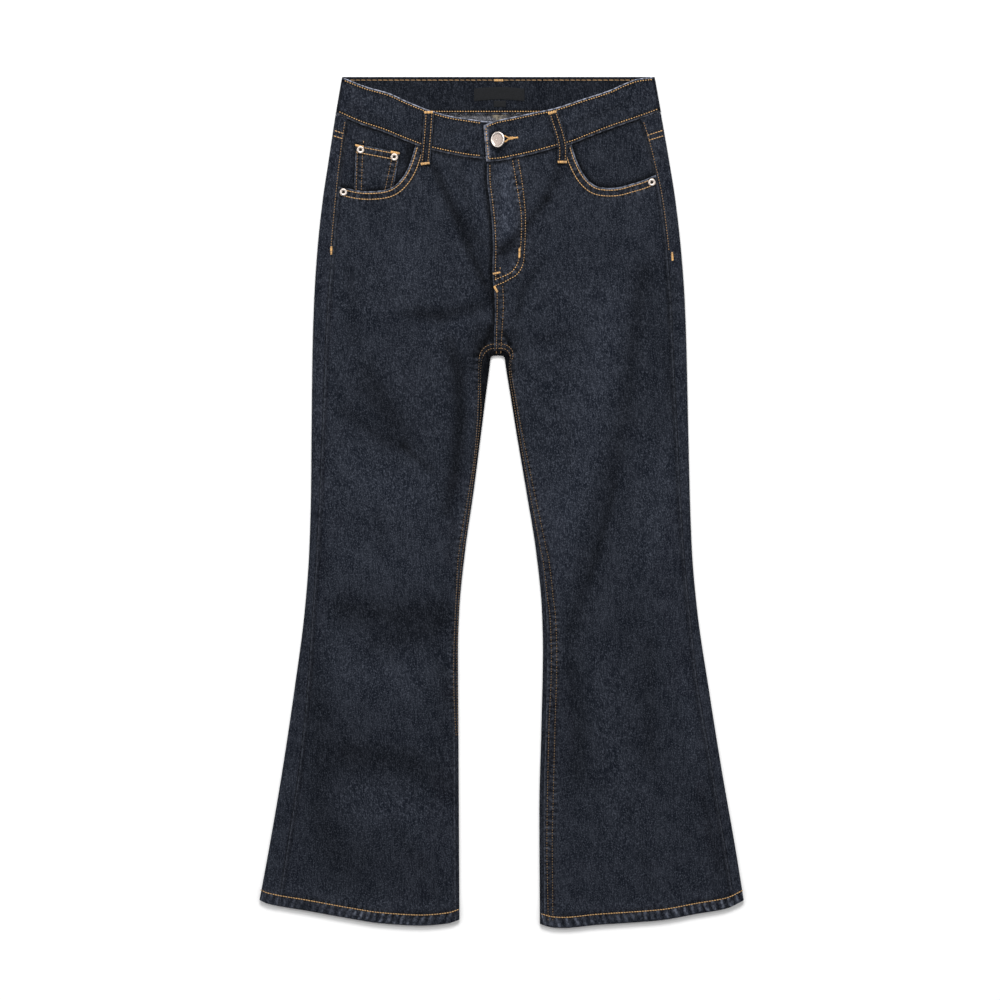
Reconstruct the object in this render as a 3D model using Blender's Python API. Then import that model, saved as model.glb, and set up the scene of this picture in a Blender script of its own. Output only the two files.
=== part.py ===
"""Wide-leg five-pocket denim jeans, laid flat on a surface with the front up.

The waist points to +Y and the front to +Z. The origin is under the middle of the spread garment.
Every measure below is in millimetres: x runs across from the middle of the spread, and down runs
from the back waist edge to the hems. Right and left are the wearer's, so right is at -x.
Each panel is one wall of cloth. The back panels wrap round the folded sides onto the front, as
far as the outseams and inseams.
"""

import math
from functools import partial

import bmesh
import bpy
import numpy as np
from mathutils import Matrix, Vector
from mathutils.geometry import delaunay_2d_cdt

MM = 0.001
RIGHT, LEFT = -1, 1
SIDES = {RIGHT: "right", LEFT: "left"}

LENGTH = 1004.4
CENTRE = -4.5
CLOTH = 1.1
HEM_CLOTH = 2.0
BAND_CLOTH = 2.4
GAP = 0.3
LAYER = CLOTH + GAP
WELD_SHIFT = 0.0037

HEM_DEPTH = 15.0
FOLD_REACH = 2.8
BAND_FOLD_REACH = 3.3
BAND_LIFT = 1.6
BACK_BAND_LOW = 44.5
CROTCH = 329.0
CROTCH_CORNER = 3.2
THIGH = 345.0
YOKE_SIDE, YOKE_CENTRE = 60.5, 106.0
FLY_LAP = 10.0
FACING_REACH = 13.0
SEAM_STEP = 22.0
FRONT_SPACING, BACK_SPACING, FINE_SPACING = 18.0, 30.0, 15.0
LOOP_WIDTH = 11.0


class Table:
    """Measures under named columns, read smoothly between the rows by the first column."""

    def __init__(self, columns, rows):
        names = columns.split()
        rows = sorted(rows)
        self.columns = {name: [row[i] for row in rows] for i, name in enumerate(names)}
        self.keys = self.columns[names[0]]

    def at(self, name, key):
        keys, values = self.keys, self.columns[name]
        key = min(max(key, keys[0]), keys[-1])
        i = min(max(int(np.searchsorted(keys, key)) - 1, 0), len(keys) - 2)
        span = keys[i + 1] - keys[i]
        t = (key - keys[i]) / span
        low, high = self.slope(values, i) * span, self.slope(values, i + 1) * span
        return (
            (2 * t**3 - 3 * t**2 + 1) * values[i]
            + (t**3 - 2 * t**2 + t) * low
            + (3 * t**2 - 2 * t**3) * values[i + 1]
            + (t**3 - t**2) * high
        )

    def slope(self, values, i):
        """The slope at a row, flat at a peak, so that the curve never overshoots a measure."""
        keys = self.keys
        steps = [
            (values[j + 1] - values[j]) / (keys[j + 1] - keys[j])
            for j in (i - 1, i)
            if 0 <= j < len(keys) - 1
        ]
        if len(steps) == 1:
            return steps[0]
        if steps[0] * steps[1] <= 0:
            return 0.0
        return 2 * steps[0] * steps[1] / (steps[0] + steps[1])


# The outer fold of each leg, how far inside it the outseam runs, and how far a line across the
# cloth drops for each millimetre that it runs inwards.
OUTER = {
    RIGHT: Table(
        "down edge seam slant",
        [
            (42.7, -195.7, 14.0, 0.37),
            (60.5, -198.4, 14.0, 0.35),
            (98.0, -204.1, 14.8, 0.20),
            (145.4, -211.2, 16.9, 0.12),
            (204.4, -217.5, 18.0, 0.08),
            (263.4, -221.3, 16.4, 0.05),
            (329.5, -223.4, 15.3, 0.02),
            (416.8, -224.4, 12.9, 0.01),
            (487.6, -225.0, 10.7, 0.01),
            (558.4, -227.1, 9.0, 0.05),
            (629.2, -232.4, 9.6, 0.10),
            (723.6, -244.7, 15.3, 0.14),
            (818.0, -258.8, 19.5, 0.16),
            (912.4, -274.9, 21.1, 0.19),
            (971.4, -285.8, 23.0, 0.20),
        ],
    ),
    LEFT: Table(
        "down edge seam slant",
        [
            (40.5, 187.3, 24.0, 0.34),
            (60.5, 191.0, 21.5, 0.32),
            (98.0, 197.5, 19.0, 0.20),
            (145.4, 205.0, 16.8, 0.12),
            (204.4, 211.7, 16.5, 0.08),
            (263.4, 216.0, 16.5, 0.05),
            (329.5, 218.4, 15.9, 0.02),
            (416.8, 220.3, 13.5, 0.01),
            (487.6, 222.0, 11.6, 0.02),
            (558.4, 224.6, 9.8, 0.06),
            (629.2, 230.8, 9.1, 0.11),
            (723.6, 244.7, 12.4, 0.15),
            (818.0, 259.8, 11.1, 0.17),
            (912.4, 276.3, 11.8, 0.19),
            (971.8, 285.8, 11.5, 0.20),
        ],
    ),
}

# The inner fold of each leg from the crotch to the hem, and how far inside it the inseam runs.
INNER = {
    RIGHT: Table(
        "down edge seam",
        [
            (329.0, -12.8, 5.5),
            (345.0, -14.6, 7.6),
            (369.6, -17.9, 7.6),
            (416.8, -23.8, 4.6),
            (487.6, -32.9, 4.0),
            (558.4, -43.0, 4.0),
            (629.2, -50.0, 4.0),
            (676.4, -51.5, 4.0),
            (770.8, -51.0, 4.0),
            (994.6, -49.8, 4.0),
        ],
    ),
    LEFT: Table(
        "down edge seam",
        [
            (329.0, 3.2, 5.5),
            (345.0, 5.3, 5.2),
            (369.6, 9.4, 4.6),
            (416.8, 16.9, 4.4),
            (487.6, 28.9, 4.4),
            (558.4, 40.4, 4.6),
            (629.2, 47.5, 4.8),
            (676.4, 48.7, 4.8),
            (770.8, 46.8, 4.8),
            (865.2, 44.5, 4.8),
            (999.7, 45.1, 4.8),
        ],
    ),
}

HEM = {
    RIGHT: Table(
        "x down",
        [
            (-285.8, 971.4),
            (-276.2, 975.6),
            (-227.7, 984.4),
            (-175.8, 993.8),
            (-141.2, 999.0),
            (-94.5, 1001.6),
            (-63.3, 999.0),
            (-49.8, 994.6),
        ],
    ),
    LEFT: Table(
        "x down",
        [
            (45.1, 999.7),
            (61.4, 1003.9),
            (72.3, 1004.4),
            (111.9, 1000.8),
            (147.9, 998.4),
            (187.8, 995.3),
            (229.3, 987.9),
            (265.4, 981.4),
            (285.8, 971.8),
        ],
    ),
}

# The front halves of the waistband: the lower edge, the top edge straight above it, and the
# height of the outer face. The right half runs on under the left half as the button's underlap.
BAND = {
    RIGHT: Table(
        "low_x low top_x top outer",
        [
            (-195.7, 43.5, -188.0, 0.6, 7.6),
            (-166.0, 56.5, -160.0, 11.7, 7.5),
            (-139.0, 65.5, -133.5, 19.2, 7.3),
            (-115.0, 75.3, -110.0, 29.8, 7.2),
            (-88.5, 85.0, -85.0, 39.5, 7.0),
            (-62.5, 91.0, -60.5, 46.3, 6.7),
            (-39.0, 95.2, -38.0, 49.8, 6.3),
            (-21.0, 97.0, -21.0, 52.2, 6.1),
            (9.0, 98.0, 9.0, 54.0, 6.1),
        ],
    ),
    LEFT: Table(
        "low_x low top_x top outer",
        [
            (-18.0, 100.8, -21.4, 57.5, 8.9),
            (-3.5, 99.8, -4.3, 51.3, 8.9),
            (13.0, 96.7, 12.0, 48.0, 8.7),
            (38.0, 91.2, 37.0, 42.6, 8.1),
            (65.0, 83.9, 62.0, 37.3, 7.8),
            (82.0, 79.7, 78.5, 32.2, 7.6),
            (98.5, 73.2, 95.0, 26.6, 7.5),
            (115.0, 66.7, 111.0, 21.6, 7.5),
            (133.0, 60.0, 128.0, 15.8, 7.5),
            (149.0, 54.6, 144.5, 8.4, 7.6),
            (166.0, 48.8, 161.0, 2.5, 7.6),
            (187.3, 41.0, 179.5, 0.4, 7.6),
        ],
    ),
}

# The curved edge of each front pocket, from the waistband to the outseam.
SCOOP = {
    RIGHT: [
        (-101.5, 80.7),
        (-107.0, 98.9),
        (-112.3, 111.5),
        (-119.6, 122.2),
        (-127.6, 129.6),
        (-137.6, 133.6),
        (-153.0, 135.3),
        (-169.2, 134.5),
        (-192.4, 129.6),
    ],
    LEFT: [
        (82.5, 80.5),
        (88.4, 98.9),
        (98.2, 117.5),
        (109.9, 128.3),
        (122.7, 131.2),
        (137.3, 130.7),
        (152.0, 126.8),
        (166.7, 122.4),
        (182.5, 115.9),
    ],
}

# The edge of the left front over the fly and the rise, and where its raised lap ends.
FLY = Table(
    "down edge lap_end",
    [
        (98.0, -17.4, 20.0),
        (121.8, -17.1, 23.0),
        (145.4, -14.3, 26.0),
        (180.8, -10.9, 27.0),
        (204.4, -10.2, 26.0),
        (225.6, -10.8, 21.0),
        (241.0, -10.2, 12.0),
        (259.8, -8.2, 6.0),
        (284.6, -7.8, 5.0),
        (304.7, -9.0, 5.0),
        (329.0, -8.5, 5.0),
    ],
)

# Height of the front cloth's outer face above the surface, and how much thicker the hem makes it.
FRONT_HEIGHT = Table(
    "down height",
    [
        (40.0, 7.0),
        (60.0, 6.7),
        (100.0, 6.2),
        (150.0, 6.0),
        (200.0, 5.8),
        (260.0, 5.2),
        (330.0, 4.3),
        (450.0, 3.8),
        (630.0, 3.5),
        (1004.4, 3.5),
    ],
)
HEM_RISE = 1.4
HEM_SLOPE = 18.0

# The largest soft folds of the front: each is a line, its half width and its height or depth.
FOLDS = [
    # x1, down1, x2, down2, half width, height
    (-80.0, 112.0, -20.0, 250.0, 9.0, -0.9),
    (-62.0, 112.0, -16.0, 215.0, 8.0, 0.6),
    (72.0, 115.0, 26.0, 240.0, 10.0, -0.8),
    (-15.0, 268.0, -75.0, 284.0, 8.0, -0.8),
    (-20.0, 300.0, -90.0, 312.0, 12.0, 0.9),
    (-42.0, 345.0, -56.0, 520.0, 12.0, -0.6),
    (-165.0, 375.0, -85.0, 460.0, 14.0, -0.5),
    (-200.0, 505.0, -95.0, 480.0, 20.0, 0.9),
    (-195.0, 636.0, -65.0, 640.0, 14.0, -0.6),
    (-190.0, 672.0, -70.0, 700.0, 20.0, 1.2),
    (-180.0, 790.0, -60.0, 812.0, 16.0, -0.6),
    (-200.0, 850.0, -90.0, 850.0, 22.0, 0.8),
    (168.0, 240.0, 128.0, 470.0, 14.0, -0.8),
    (128.0, 470.0, 78.0, 690.0, 15.0, -0.6),
    (140.0, 250.0, 96.0, 470.0, 18.0, 1.0),
    (96.0, 480.0, 62.0, 600.0, 14.0, 0.8),
    (190.0, 330.0, 168.0, 560.0, 16.0, 0.7),
    (120.0, 700.0, 150.0, 900.0, 22.0, 0.8),
]

POCKET_DEPTH, POCKET_TIP = 132.0, 24.0
POCKET_TOP_WIDTH, POCKET_LOW_WIDTH = 144.0, 124.0
POCKET_MIDDLE, POCKET_TOP = 106.0, 124.0
POCKET_TILT = math.radians(-7.0)

COIN_POCKET = [
    (-172.0, 79.6),
    (-120.4, 89.4),
    (-126.8, 125.9),
    (-131.0, 141.0),
    (-174.0, 141.0),
]

BUTTON_PLACE = (-4.4, 74.8)
BUTTON_RADIUS = 9.6
BUTTON_STAND = 6.3
BUTTON_LEAN = math.radians(-33.0)
SHANK_RADIUS = 2.6
RIVET_RADIUS = 4.6

LABEL_SIZES = {
    # low x, high x, top, low, arch
    "label": (-32.5, 26.8, 14.0, 28.8, 2.0),
    "size_tab": (-9.3, 5.0, 29.8, 35.6, 0.0),
}
LABEL_THICKNESS = 0.8

DENIM = ("denim_dark_indigo", (0.020, 0.024, 0.036), 0.85, 0.0)
NICKEL = ("nickel_button", (0.62, 0.56, 0.50), 0.35, 1.0)
RIVET_METAL = ("nickel_rivet", (0.60, 0.57, 0.53), 0.40, 1.0)
WOVEN = ("woven_label", (0.012, 0.012, 0.014), 0.7, 0.0)


def ease(value, low, high):
    """0 up to low, 1 from high, and smooth between them."""
    t = min(max((value - low) / (high - low), 0.0), 1.0)
    return t * t * (3.0 - 2.0 * t)


def hem(side, x):
    return HEM[side].at("down", x)


def thickness(side, x, down):
    """The cloth's thickness, with the turned-up hem counted in."""
    edge = hem(side, x)
    return CLOTH + (HEM_CLOTH - CLOTH) * ease(down, edge - HEM_DEPTH - 3.0, edge - HEM_DEPTH)


def distance_to_line(x, down, x1, down1, x2, down2):
    line = Vector((x2 - x1, down2 - down1))
    to_point = Vector((x - x1, down - down1))
    t = min(max(to_point.dot(line) / line.length_squared, 0.0), 1.0)
    return (to_point - t * line).length


def front_top(side, x, down):
    """Height of the front cloth's outer face, folds and hem counted in."""
    height = FRONT_HEIGHT.at("height", down)
    for x1, down1, x2, down2, width, rise in FOLDS:
        away = distance_to_line(x, down, x1, down1, x2, down2)
        height += rise * math.exp(-((away / width) ** 2))
    edge = hem(side, x)
    return height + HEM_RISE * ease(down, edge - HEM_DEPTH - HEM_SLOPE, edge - HEM_DEPTH + 2.0)


def back_low(down):
    """Height of the back cloth's outer face: it rests on its pockets and loops, then on the floor."""
    return 0.45 * (1.0 - ease(down, 46.0, 80.0)) + (LAYER + 0.05) * (1.0 - ease(down, 285.0, 323.0))


def fly_lap(x, down):
    """How far the left front is raised where it laps over the right front."""
    end = FLY.at("lap_end", down)
    return (LAYER + 0.1) * (1.0 - ease(x, end, end + 14.0))


def coin_bulge(x, down):
    """How far the right front is raised by the coin pocket that it half covers."""
    across = ease(x, -196.0, -178.0) * (1.0 - ease(x, -124.0, -106.0))
    return (LAYER + 0.1) * across * (1.0 - ease(down, 144.0, 166.0))


def front_outer(side, x, down):
    raised = fly_lap(x, down) if side == LEFT else coin_bulge(x, down)
    return front_top(side, x, down) + raised


def world(x, down, height):
    """A point in metres."""
    return (x * MM, (0.5 * LENGTH - down) * MM, height * MM)


def resample(points, step):
    """The same line with points about a step apart. Its ends stay."""
    points = np.array(points, float)
    run = np.concatenate([[0.0], np.cumsum(np.linalg.norm(np.diff(points, axis=0), axis=1))])
    places = np.linspace(0.0, run[-1], max(int(round(run[-1] / step)), 1) + 1)
    columns = (np.interp(places, run, points[:, 0]), np.interp(places, run, points[:, 1]))
    return [(float(x), float(down)) for x, down in zip(*columns)]


def curve(points, step):
    """A smooth line through the points."""
    points = [np.array(p, float) for p in points]
    ends = [2 * points[0] - points[1]] + points + [2 * points[-1] - points[-2]]
    fine = []
    for before, start, end, after in zip(ends, ends[1:], ends[2:], ends[3:]):
        for t in np.linspace(0.0, 1.0, 8, endpoint=False):
            bend = (2 * before - 5 * start + 4 * end - after) * t**2
            bend += (3 * start - before - 3 * end + after) * t**3
            fine.append(start + 0.5 * ((end - before) * t + bend))
    return resample(fine + [points[-1]], step)


def closed_outline(corners, step):
    """A closed outline that keeps its corners, with points about a step apart between them."""
    outline = []
    for start, end in zip(corners, corners[1:] + corners[:1]):
        outline += resample([start, end], step)[:-1]
    return outline


def shifted(points, distance):
    """The line moved sideways, to the left of its own direction for a positive distance."""
    points = [Vector(p) for p in points]
    moved = []
    for i, point in enumerate(points):
        along = (points[min(i + 1, len(points) - 1)] - points[max(i - 1, 0)]).normalized()
        moved.append(tuple(point + distance * Vector((-along.y, along.x))))
    return moved


def inside(points, outline):
    """Which points lie inside a closed outline."""
    result = np.zeros(len(points), bool)
    corners = np.array(outline)
    for (x1, y1), (x2, y2) in zip(corners, np.roll(corners, -1, axis=0)):
        if y1 == y2:
            continue
        crosses = (points[:, 1] < y1) != (points[:, 1] < y2)
        x_there = x1 + (points[:, 1] - y1) * (x2 - x1) / (y2 - y1)
        result ^= crosses & (points[:, 0] < x_there)
    return result


def clear_of(points, outline, distance):
    """Which points keep a distance from every side of a closed outline."""
    result = np.ones(len(points), bool)
    corners = np.array(outline)
    for start, end in zip(corners, np.roll(corners, -1, axis=0)):
        line = end - start
        t = np.clip((points - start) @ line / max(line @ line, 1e-9), 0.0, 1.0)
        result &= np.linalg.norm(points - (start + t[:, None] * line), axis=1) > distance
    return result


def plan(outline, spacing, extra=()):
    """Triangles over an outline seen from above, with evenly spread points inside it."""
    low, high = np.min(outline, axis=0), np.max(outline, axis=0)
    rows = np.arange(low[1], high[1], spacing * math.sqrt(0.75))
    spread = [
        (x, down)
        for i, down in enumerate(rows)
        for x in np.arange(low[0] + 0.5 * spacing * (i % 2), high[0], spacing)
    ]
    spread = np.array(spread + list(extra) + [(low[0] - 1.0, low[1] - 1.0)])
    spread = spread[inside(spread, outline) & clear_of(spread, outline, 0.45 * spacing)]
    places = [Vector(p) for p in outline] + [Vector(p) for p in spread]
    ring = list(range(len(outline)))
    found = delaunay_2d_cdt(places, [], [ring], 1, 1e-4)
    return [tuple(p) for p in found[0]], [tuple(face) for face in found[2]]


def lifted(outline, spacing, outer, inner, extra=()):
    """One sheet over an outline: its points on the outer face and on the inner face, and faces."""
    places, faces = plan(outline, spacing, extra)
    return (
        [(x, down, outer(x, down)) for x, down in places],
        [(x, down, inner(x, down)) for x, down in places],
        faces,
    )


def lofted(rows):
    """One sheet through rows of (outer point, inner point) pairs."""
    width = len(rows[0])
    faces = [
        (i * width + j, i * width + j + 1, (i + 1) * width + j + 1, (i + 1) * width + j)
        for i in range(len(rows) - 1)
        for j in range(width - 1)
    ]
    pairs = [pair for row in rows for pair in row]
    return [outer for outer, _ in pairs], [inner for _, inner in pairs], faces


def material(spec):
    name, colour, roughness, metallic = spec
    if name in bpy.data.materials:
        return bpy.data.materials[name]
    made = bpy.data.materials.new(name)
    made.use_nodes = True
    shader = made.node_tree.nodes["Principled BSDF"]
    shader.inputs["Base Color"].default_value = (*colour, 1.0)
    shader.inputs["Roughness"].default_value = roughness
    shader.inputs["Metallic"].default_value = metallic
    made.diffuse_color = (*colour, 1.0)
    return made


def add_object(name, mesh, spec, collection):
    made = bpy.data.objects.new(name, mesh)
    mesh.materials.append(material(spec))
    collection.objects.link(made)
    return made


def cloth(name, sheets, collection, spec=DENIM):
    """A closed wall of cloth from sheets that share points: two faces, and a rim round every edge."""
    number, outer, inner, faces = {}, [], [], []
    for sheet_outer, sheet_inner, sheet_faces in sheets:
        own = []
        for out_point, in_point in zip(sheet_outer, sheet_inner):
            key = tuple(round(c + WELD_SHIFT, 2) for c in out_point)
            if key not in number:
                number[key] = len(outer)
                outer.append(out_point)
                inner.append(in_point)
            own.append(number[key])
        faces += [[own[i] for i in face] for face in sheet_faces]
    work = bmesh.new()
    front = [work.verts.new(world(*p)) for p in outer]
    back = [work.verts.new(world(*p)) for p in inner]
    used = {}
    for face in faces:
        for a, b in zip(face, face[1:] + face[:1]):
            used.setdefault((min(a, b), max(a, b)), []).append((a, b))
        work.faces.new([front[i] for i in face])
        work.faces.new([back[i] for i in reversed(face)])
    for uses in used.values():
        if len(uses) == 1:
            a, b = uses[0]
            work.faces.new([front[b], front[a], back[a], back[b]])
    bmesh.ops.delete(work, geom=[v for v in work.verts if not v.link_faces], context="VERTS")
    bmesh.ops.recalc_face_normals(work, faces=work.faces)
    mesh = bpy.data.meshes.new(name)
    work.to_mesh(mesh)
    work.free()
    return add_object(name, mesh, spec, collection)


def outer_stations(side, downs):
    """Places down the outer fold, each with the direction inwards and the width to the outseam."""
    table = OUTER[side]
    return [
        ((table.at("edge", d), d), (-side, table.at("slant", d)), table.at("seam", d))
        for d in downs
    ]


def inner_stations(side, downs):
    """Places from the middle of the crotch fold round its corner and down the inner fold."""
    table = INNER[side]
    middle = CENTRE + 0.5 * GAP * side
    corner = table.at("edge", CROTCH) - side * CROTCH_CORNER
    line = [(middle, CROTCH), (0.5 * (middle + corner), CROTCH), (corner, CROTCH)]
    for angle in (math.radians(30), math.radians(60)):
        across = corner + side * CROTCH_CORNER * math.sin(angle)
        line.append((across, CROTCH + CROTCH_CORNER * (1.0 - math.cos(angle))))
    line += [(table.at("edge", d), d) for d in downs]
    stations = []
    for i, (x, down) in enumerate(line):
        start, end = line[max(i - 1, 0)], line[min(i + 1, len(line) - 1)]
        along = Vector((end[0] - start[0], end[1] - start[1])).normalized()
        inward = (side * along.y, -side * along.x)
        stations.append(((x, down), (0.0, -1.0) if i == 0 else inward, table.at("seam", down)))
    return stations


def fold_place(station, reach=FOLD_REACH):
    """Where the cloth of the fold has come down flat on the back."""
    (x, down), (across, drop), _ = station
    return x + across * reach, down + drop * reach


def band_fold_x(side):
    """Where the waistband's lower edge starts to turn over the side fold."""
    return OUTER[side].at("edge", BACK_BAND_LOW) - side * BAND_FOLD_REACH


def below_band(side, x):
    """The line just under the front waistband, which runs level over the fold."""
    fold_x = band_fold_x(side)
    x = min(x, fold_x) if side == LEFT else max(x, fold_x)
    return BAND[side].at("low", x) + GAP + 0.1


def wrapped_row(side, station, edge_line=None):
    """Pairs of points over one fold: from the flat back round the edge and in to the seam.

    Along a hem or the waistband, edge_line gives how far down the cloth's edge is at an x.
    """
    (x, down), (across, drop), seam = station
    flat = fold_place(station)
    low, top = back_low(flat[1]), front_top(side, *flat)
    wall = thickness(side, x, down)
    middle, half = 0.5 * (low + top), 0.5 * (top - low)

    def place(reach):
        there = (x + across * reach, down + drop * reach)
        return (there[0], edge_line(side, there[0])) if edge_line else there

    row = []
    for degrees in (-90, -45, 0, 45):
        turn = math.radians(degrees)
        outer = place(FOLD_REACH * (1.0 - math.cos(turn)))
        inner = place(wall + (FOLD_REACH - wall) * (1.0 - math.cos(turn)))
        row.append(
            (
                (*outer, middle + half * math.sin(turn)),
                (*inner, middle + (half - wall) * math.sin(turn)),
            )
        )
    steps = 3 if seam > 8.5 else 1
    for i in range(steps + 1):
        there = place(FOLD_REACH + (seam - FOLD_REACH) * i / steps)
        height = front_top(side, *there)
        row.append(((*there, height), (*there, height - wall)))
    return row


def back_sheet(side, outline, spacing, extra=()):
    return lifted(
        outline,
        spacing,
        lambda _, down: back_low(down),
        lambda x, down: back_low(down) + thickness(side, x, down),
        extra,
    )


def leg_stations(side, start, end, step):
    """Distances down a fold to the hem, closer together at the thick hem."""
    thin_end = end - HEM_DEPTH - HEM_SLOPE
    count = int(round((thin_end - start) / step))
    return list(np.linspace(start, thin_end, count + 1)) + [
        end - HEM_DEPTH - 3.0,
        end - HEM_DEPTH,
        end,
    ]


def equal_columns(rows):
    """Rows of a wrap with the same number of points each, filled in towards the seam."""
    most = max(len(row) for row in rows)
    fold = 4
    filled = []
    for row in rows:
        seam_part = row[fold:]
        while len(seam_part) < most - fold:
            a, b = seam_part[-2:]
            middle = tuple(tuple(0.5 * (p + q) for p, q in zip(u, v)) for u, v in zip(a, b))
            seam_part.insert(len(seam_part) - 1, middle)
        filled.append(row[:fold] + seam_part)
    return filled


def yoke_seam(side, x):
    """The yoke's lower edge on the back, deepest in the middle."""
    edge = OUTER[side].at("edge", YOKE_SIDE)
    share = (x - CENTRE) / (edge - CENTRE)
    return YOKE_CENTRE + (YOKE_SIDE - YOKE_CENTRE) * share


def make_yoke(side, collection):
    start = OUTER[side].keys[0] + GAP + 0.05
    outer = outer_stations(side, np.linspace(start, YOKE_SIDE - 0.5 * GAP, 3))
    rows = [wrapped_row(side, outer[0], below_band)]
    rows += [wrapped_row(side, station) for station in outer[1:]]
    flat = [row[0][0][:2] for row in rows]
    middle = CENTRE + 0.5 * GAP * side
    low_line = [flat[-1], (middle, yoke_seam(side, middle) - 0.5 * GAP)]
    top_line = [(middle, BACK_BAND_LOW + GAP + 0.1), flat[0]]
    outline = flat[:-1] + resample(low_line, 24.0) + resample(top_line, 24.0)[:-1]
    cloth(
        f"yoke_{SIDES[side]}",
        [back_sheet(side, outline, BACK_SPACING), lofted(equal_columns(rows))],
        collection,
    )


def make_back(side, collection):
    hem_corner = OUTER[side].keys[-1]
    outer = outer_stations(side, leg_stations(side, YOKE_SIDE + 0.5 * GAP, hem_corner, SEAM_STEP))
    inner_down = [CROTCH + CROTCH_CORNER] + leg_stations(side, THIGH, INNER[side].keys[-1], SEAM_STEP)
    inner = inner_stations(side, inner_down)
    outer_rows = [wrapped_row(side, s) for s in outer[:-1]] + [wrapped_row(side, outer[-1], hem)]
    inner_rows = [wrapped_row(side, s) for s in inner[:-1]] + [wrapped_row(side, inner[-1], hem)]
    outer_flat = [row[0][0][:2] for row in outer_rows]
    inner_flat = [row[0][0][:2] for row in inner_rows]
    hem_line = [
        (x, hem(side, x)) for x in np.linspace(outer_flat[-1][0], inner_flat[-1][0], 10)
    ][1:-1]
    middle = CENTRE + 0.5 * GAP * side
    rise = resample([inner_flat[0], (middle, yoke_seam(side, middle) + 0.5 * GAP)], 30.0)
    seam = resample([rise[-1], outer_flat[0]], 26.0)
    outline = outer_flat + hem_line + inner_flat[::-1] + rise[1:] + seam[1:-1]
    near_hem = [
        (x, hem(side, x) - HEM_DEPTH - rise)
        for x in np.linspace(outer_flat[-1][0], inner_flat[-1][0], 10)[1:-1]
        for rise in (0.0, 3.0)
    ]
    cloth(
        f"back_{SIDES[side]}",
        [
            back_sheet(side, outline, BACK_SPACING, near_hem),
            lofted(equal_columns(outer_rows)),
            lofted(equal_columns(inner_rows)),
        ],
        collection,
    )


def beside_seam(stations):
    """The line just inside a seam, where the panel beside it ends."""
    return [
        (x + across * (seam + GAP), down + drop * (seam + GAP))
        for (x, down), (across, drop), seam in stations
    ]


def pocket_edge(side):
    """The pocket's curved edge, ending on the line just inside the outseam."""
    points = list(SCOOP[side])
    end = points[-1][1]
    outseam = beside_seam(outer_stations(side, np.linspace(end - 20.0, end + 20.0, 9)))
    x = float(np.interp(end, [p[1] for p in outseam], [p[0] for p in outseam]))
    return curve(points[:-1] + [(x, end)], 8.0)


def make_front(side, collection):
    scoop = pocket_edge(side)
    start = scoop[-1][1]
    hem_corner = OUTER[side].keys[-1]
    outseam = beside_seam(outer_stations(side, leg_stations(side, start, hem_corner, SEAM_STEP)))
    outseam = [p for p in outseam if p[1] > start + 5.0]
    outseam[-1] = (outseam[-1][0], hem(side, outseam[-1][0]))
    inner_down = [CROTCH + CROTCH_CORNER] + leg_stations(side, THIGH, INNER[side].keys[-1], SEAM_STEP)
    inseam = beside_seam(inner_stations(side, inner_down))
    inseam[-1] = (inseam[-1][0], hem(side, inseam[-1][0]))
    hem_line = [
        (x, hem(side, x)) for x in np.linspace(outseam[-1][0], inseam[-1][0], 14)
    ][1:-1]
    lap = 0.0 if side == LEFT else FLY_LAP
    crotch = inseam[0][1]
    fly = [(FLY.at("edge", d) + lap, d) for d in np.linspace(crotch, 104.0, 14)]
    inseam = [p for p in inseam[1:] if side * (p[0] - fly[0][0]) > 4.0]
    waist = [(x, below_band(side, x)) for x in np.linspace(fly[-1][0], scoop[0][0], 8)]
    outline = scoop[1:] + outseam + hem_line + inseam[::-1] + fly + waist
    near_hem = [
        (x, hem(side, x) - HEM_DEPTH - rise)
        for x in np.linspace(outseam[-1][0], inseam[-1][0], 14)[1:-1]
        for rise in (-2.0, 0.0, 3.0, 18.0)
    ]
    sheet = lifted(
        outline,
        FRONT_SPACING,
        partial(front_outer, side),
        lambda x, down: front_outer(side, x, down) - thickness(side, x, down),
        near_hem,
    )
    cloth(f"front_{SIDES[side]}", [sheet], collection)


def facing_top(side, x, down):
    """The pocket facing lies one gap under the front cloth."""
    return front_top(side, x, down) - LAYER


def make_facing(side, collection):
    edge = shifted(pocket_edge(side), FACING_REACH * side)
    outseam = beside_seam(outer_stations(side, np.linspace(44.0, 146.0, 12)))
    outseam = [p for p in outseam if below_band(side, p[0]) + 2.0 < p[1] < edge[-1][1]]
    waist = [(x, below_band(side, x)) for x in np.linspace(outseam[0][0], edge[0][0], 8)]
    edge = [p for p in edge if p[1] > waist[-1][1] + 3.0]
    edge = [p for p in edge if side * (outseam[-1][0] - p[0]) > 3.0]
    outline = waist + edge + outseam[:0:-1]
    sheet = lifted(
        outline,
        FINE_SPACING,
        partial(facing_top, side),
        lambda x, down: facing_top(side, x, down) - CLOTH,
    )
    cloth(f"pocket_facing_{SIDES[side]}", [sheet], collection)


def coin_top(x, down):
    return facing_top(RIGHT, x, down) + LAYER


def make_coin_pocket(collection):
    outline = closed_outline(COIN_POCKET, 12.0)
    sheet = lifted(outline, FINE_SPACING, coin_top, lambda x, down: coin_top(x, down) - CLOTH)
    cloth("coin_pocket", [sheet], collection)


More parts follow.
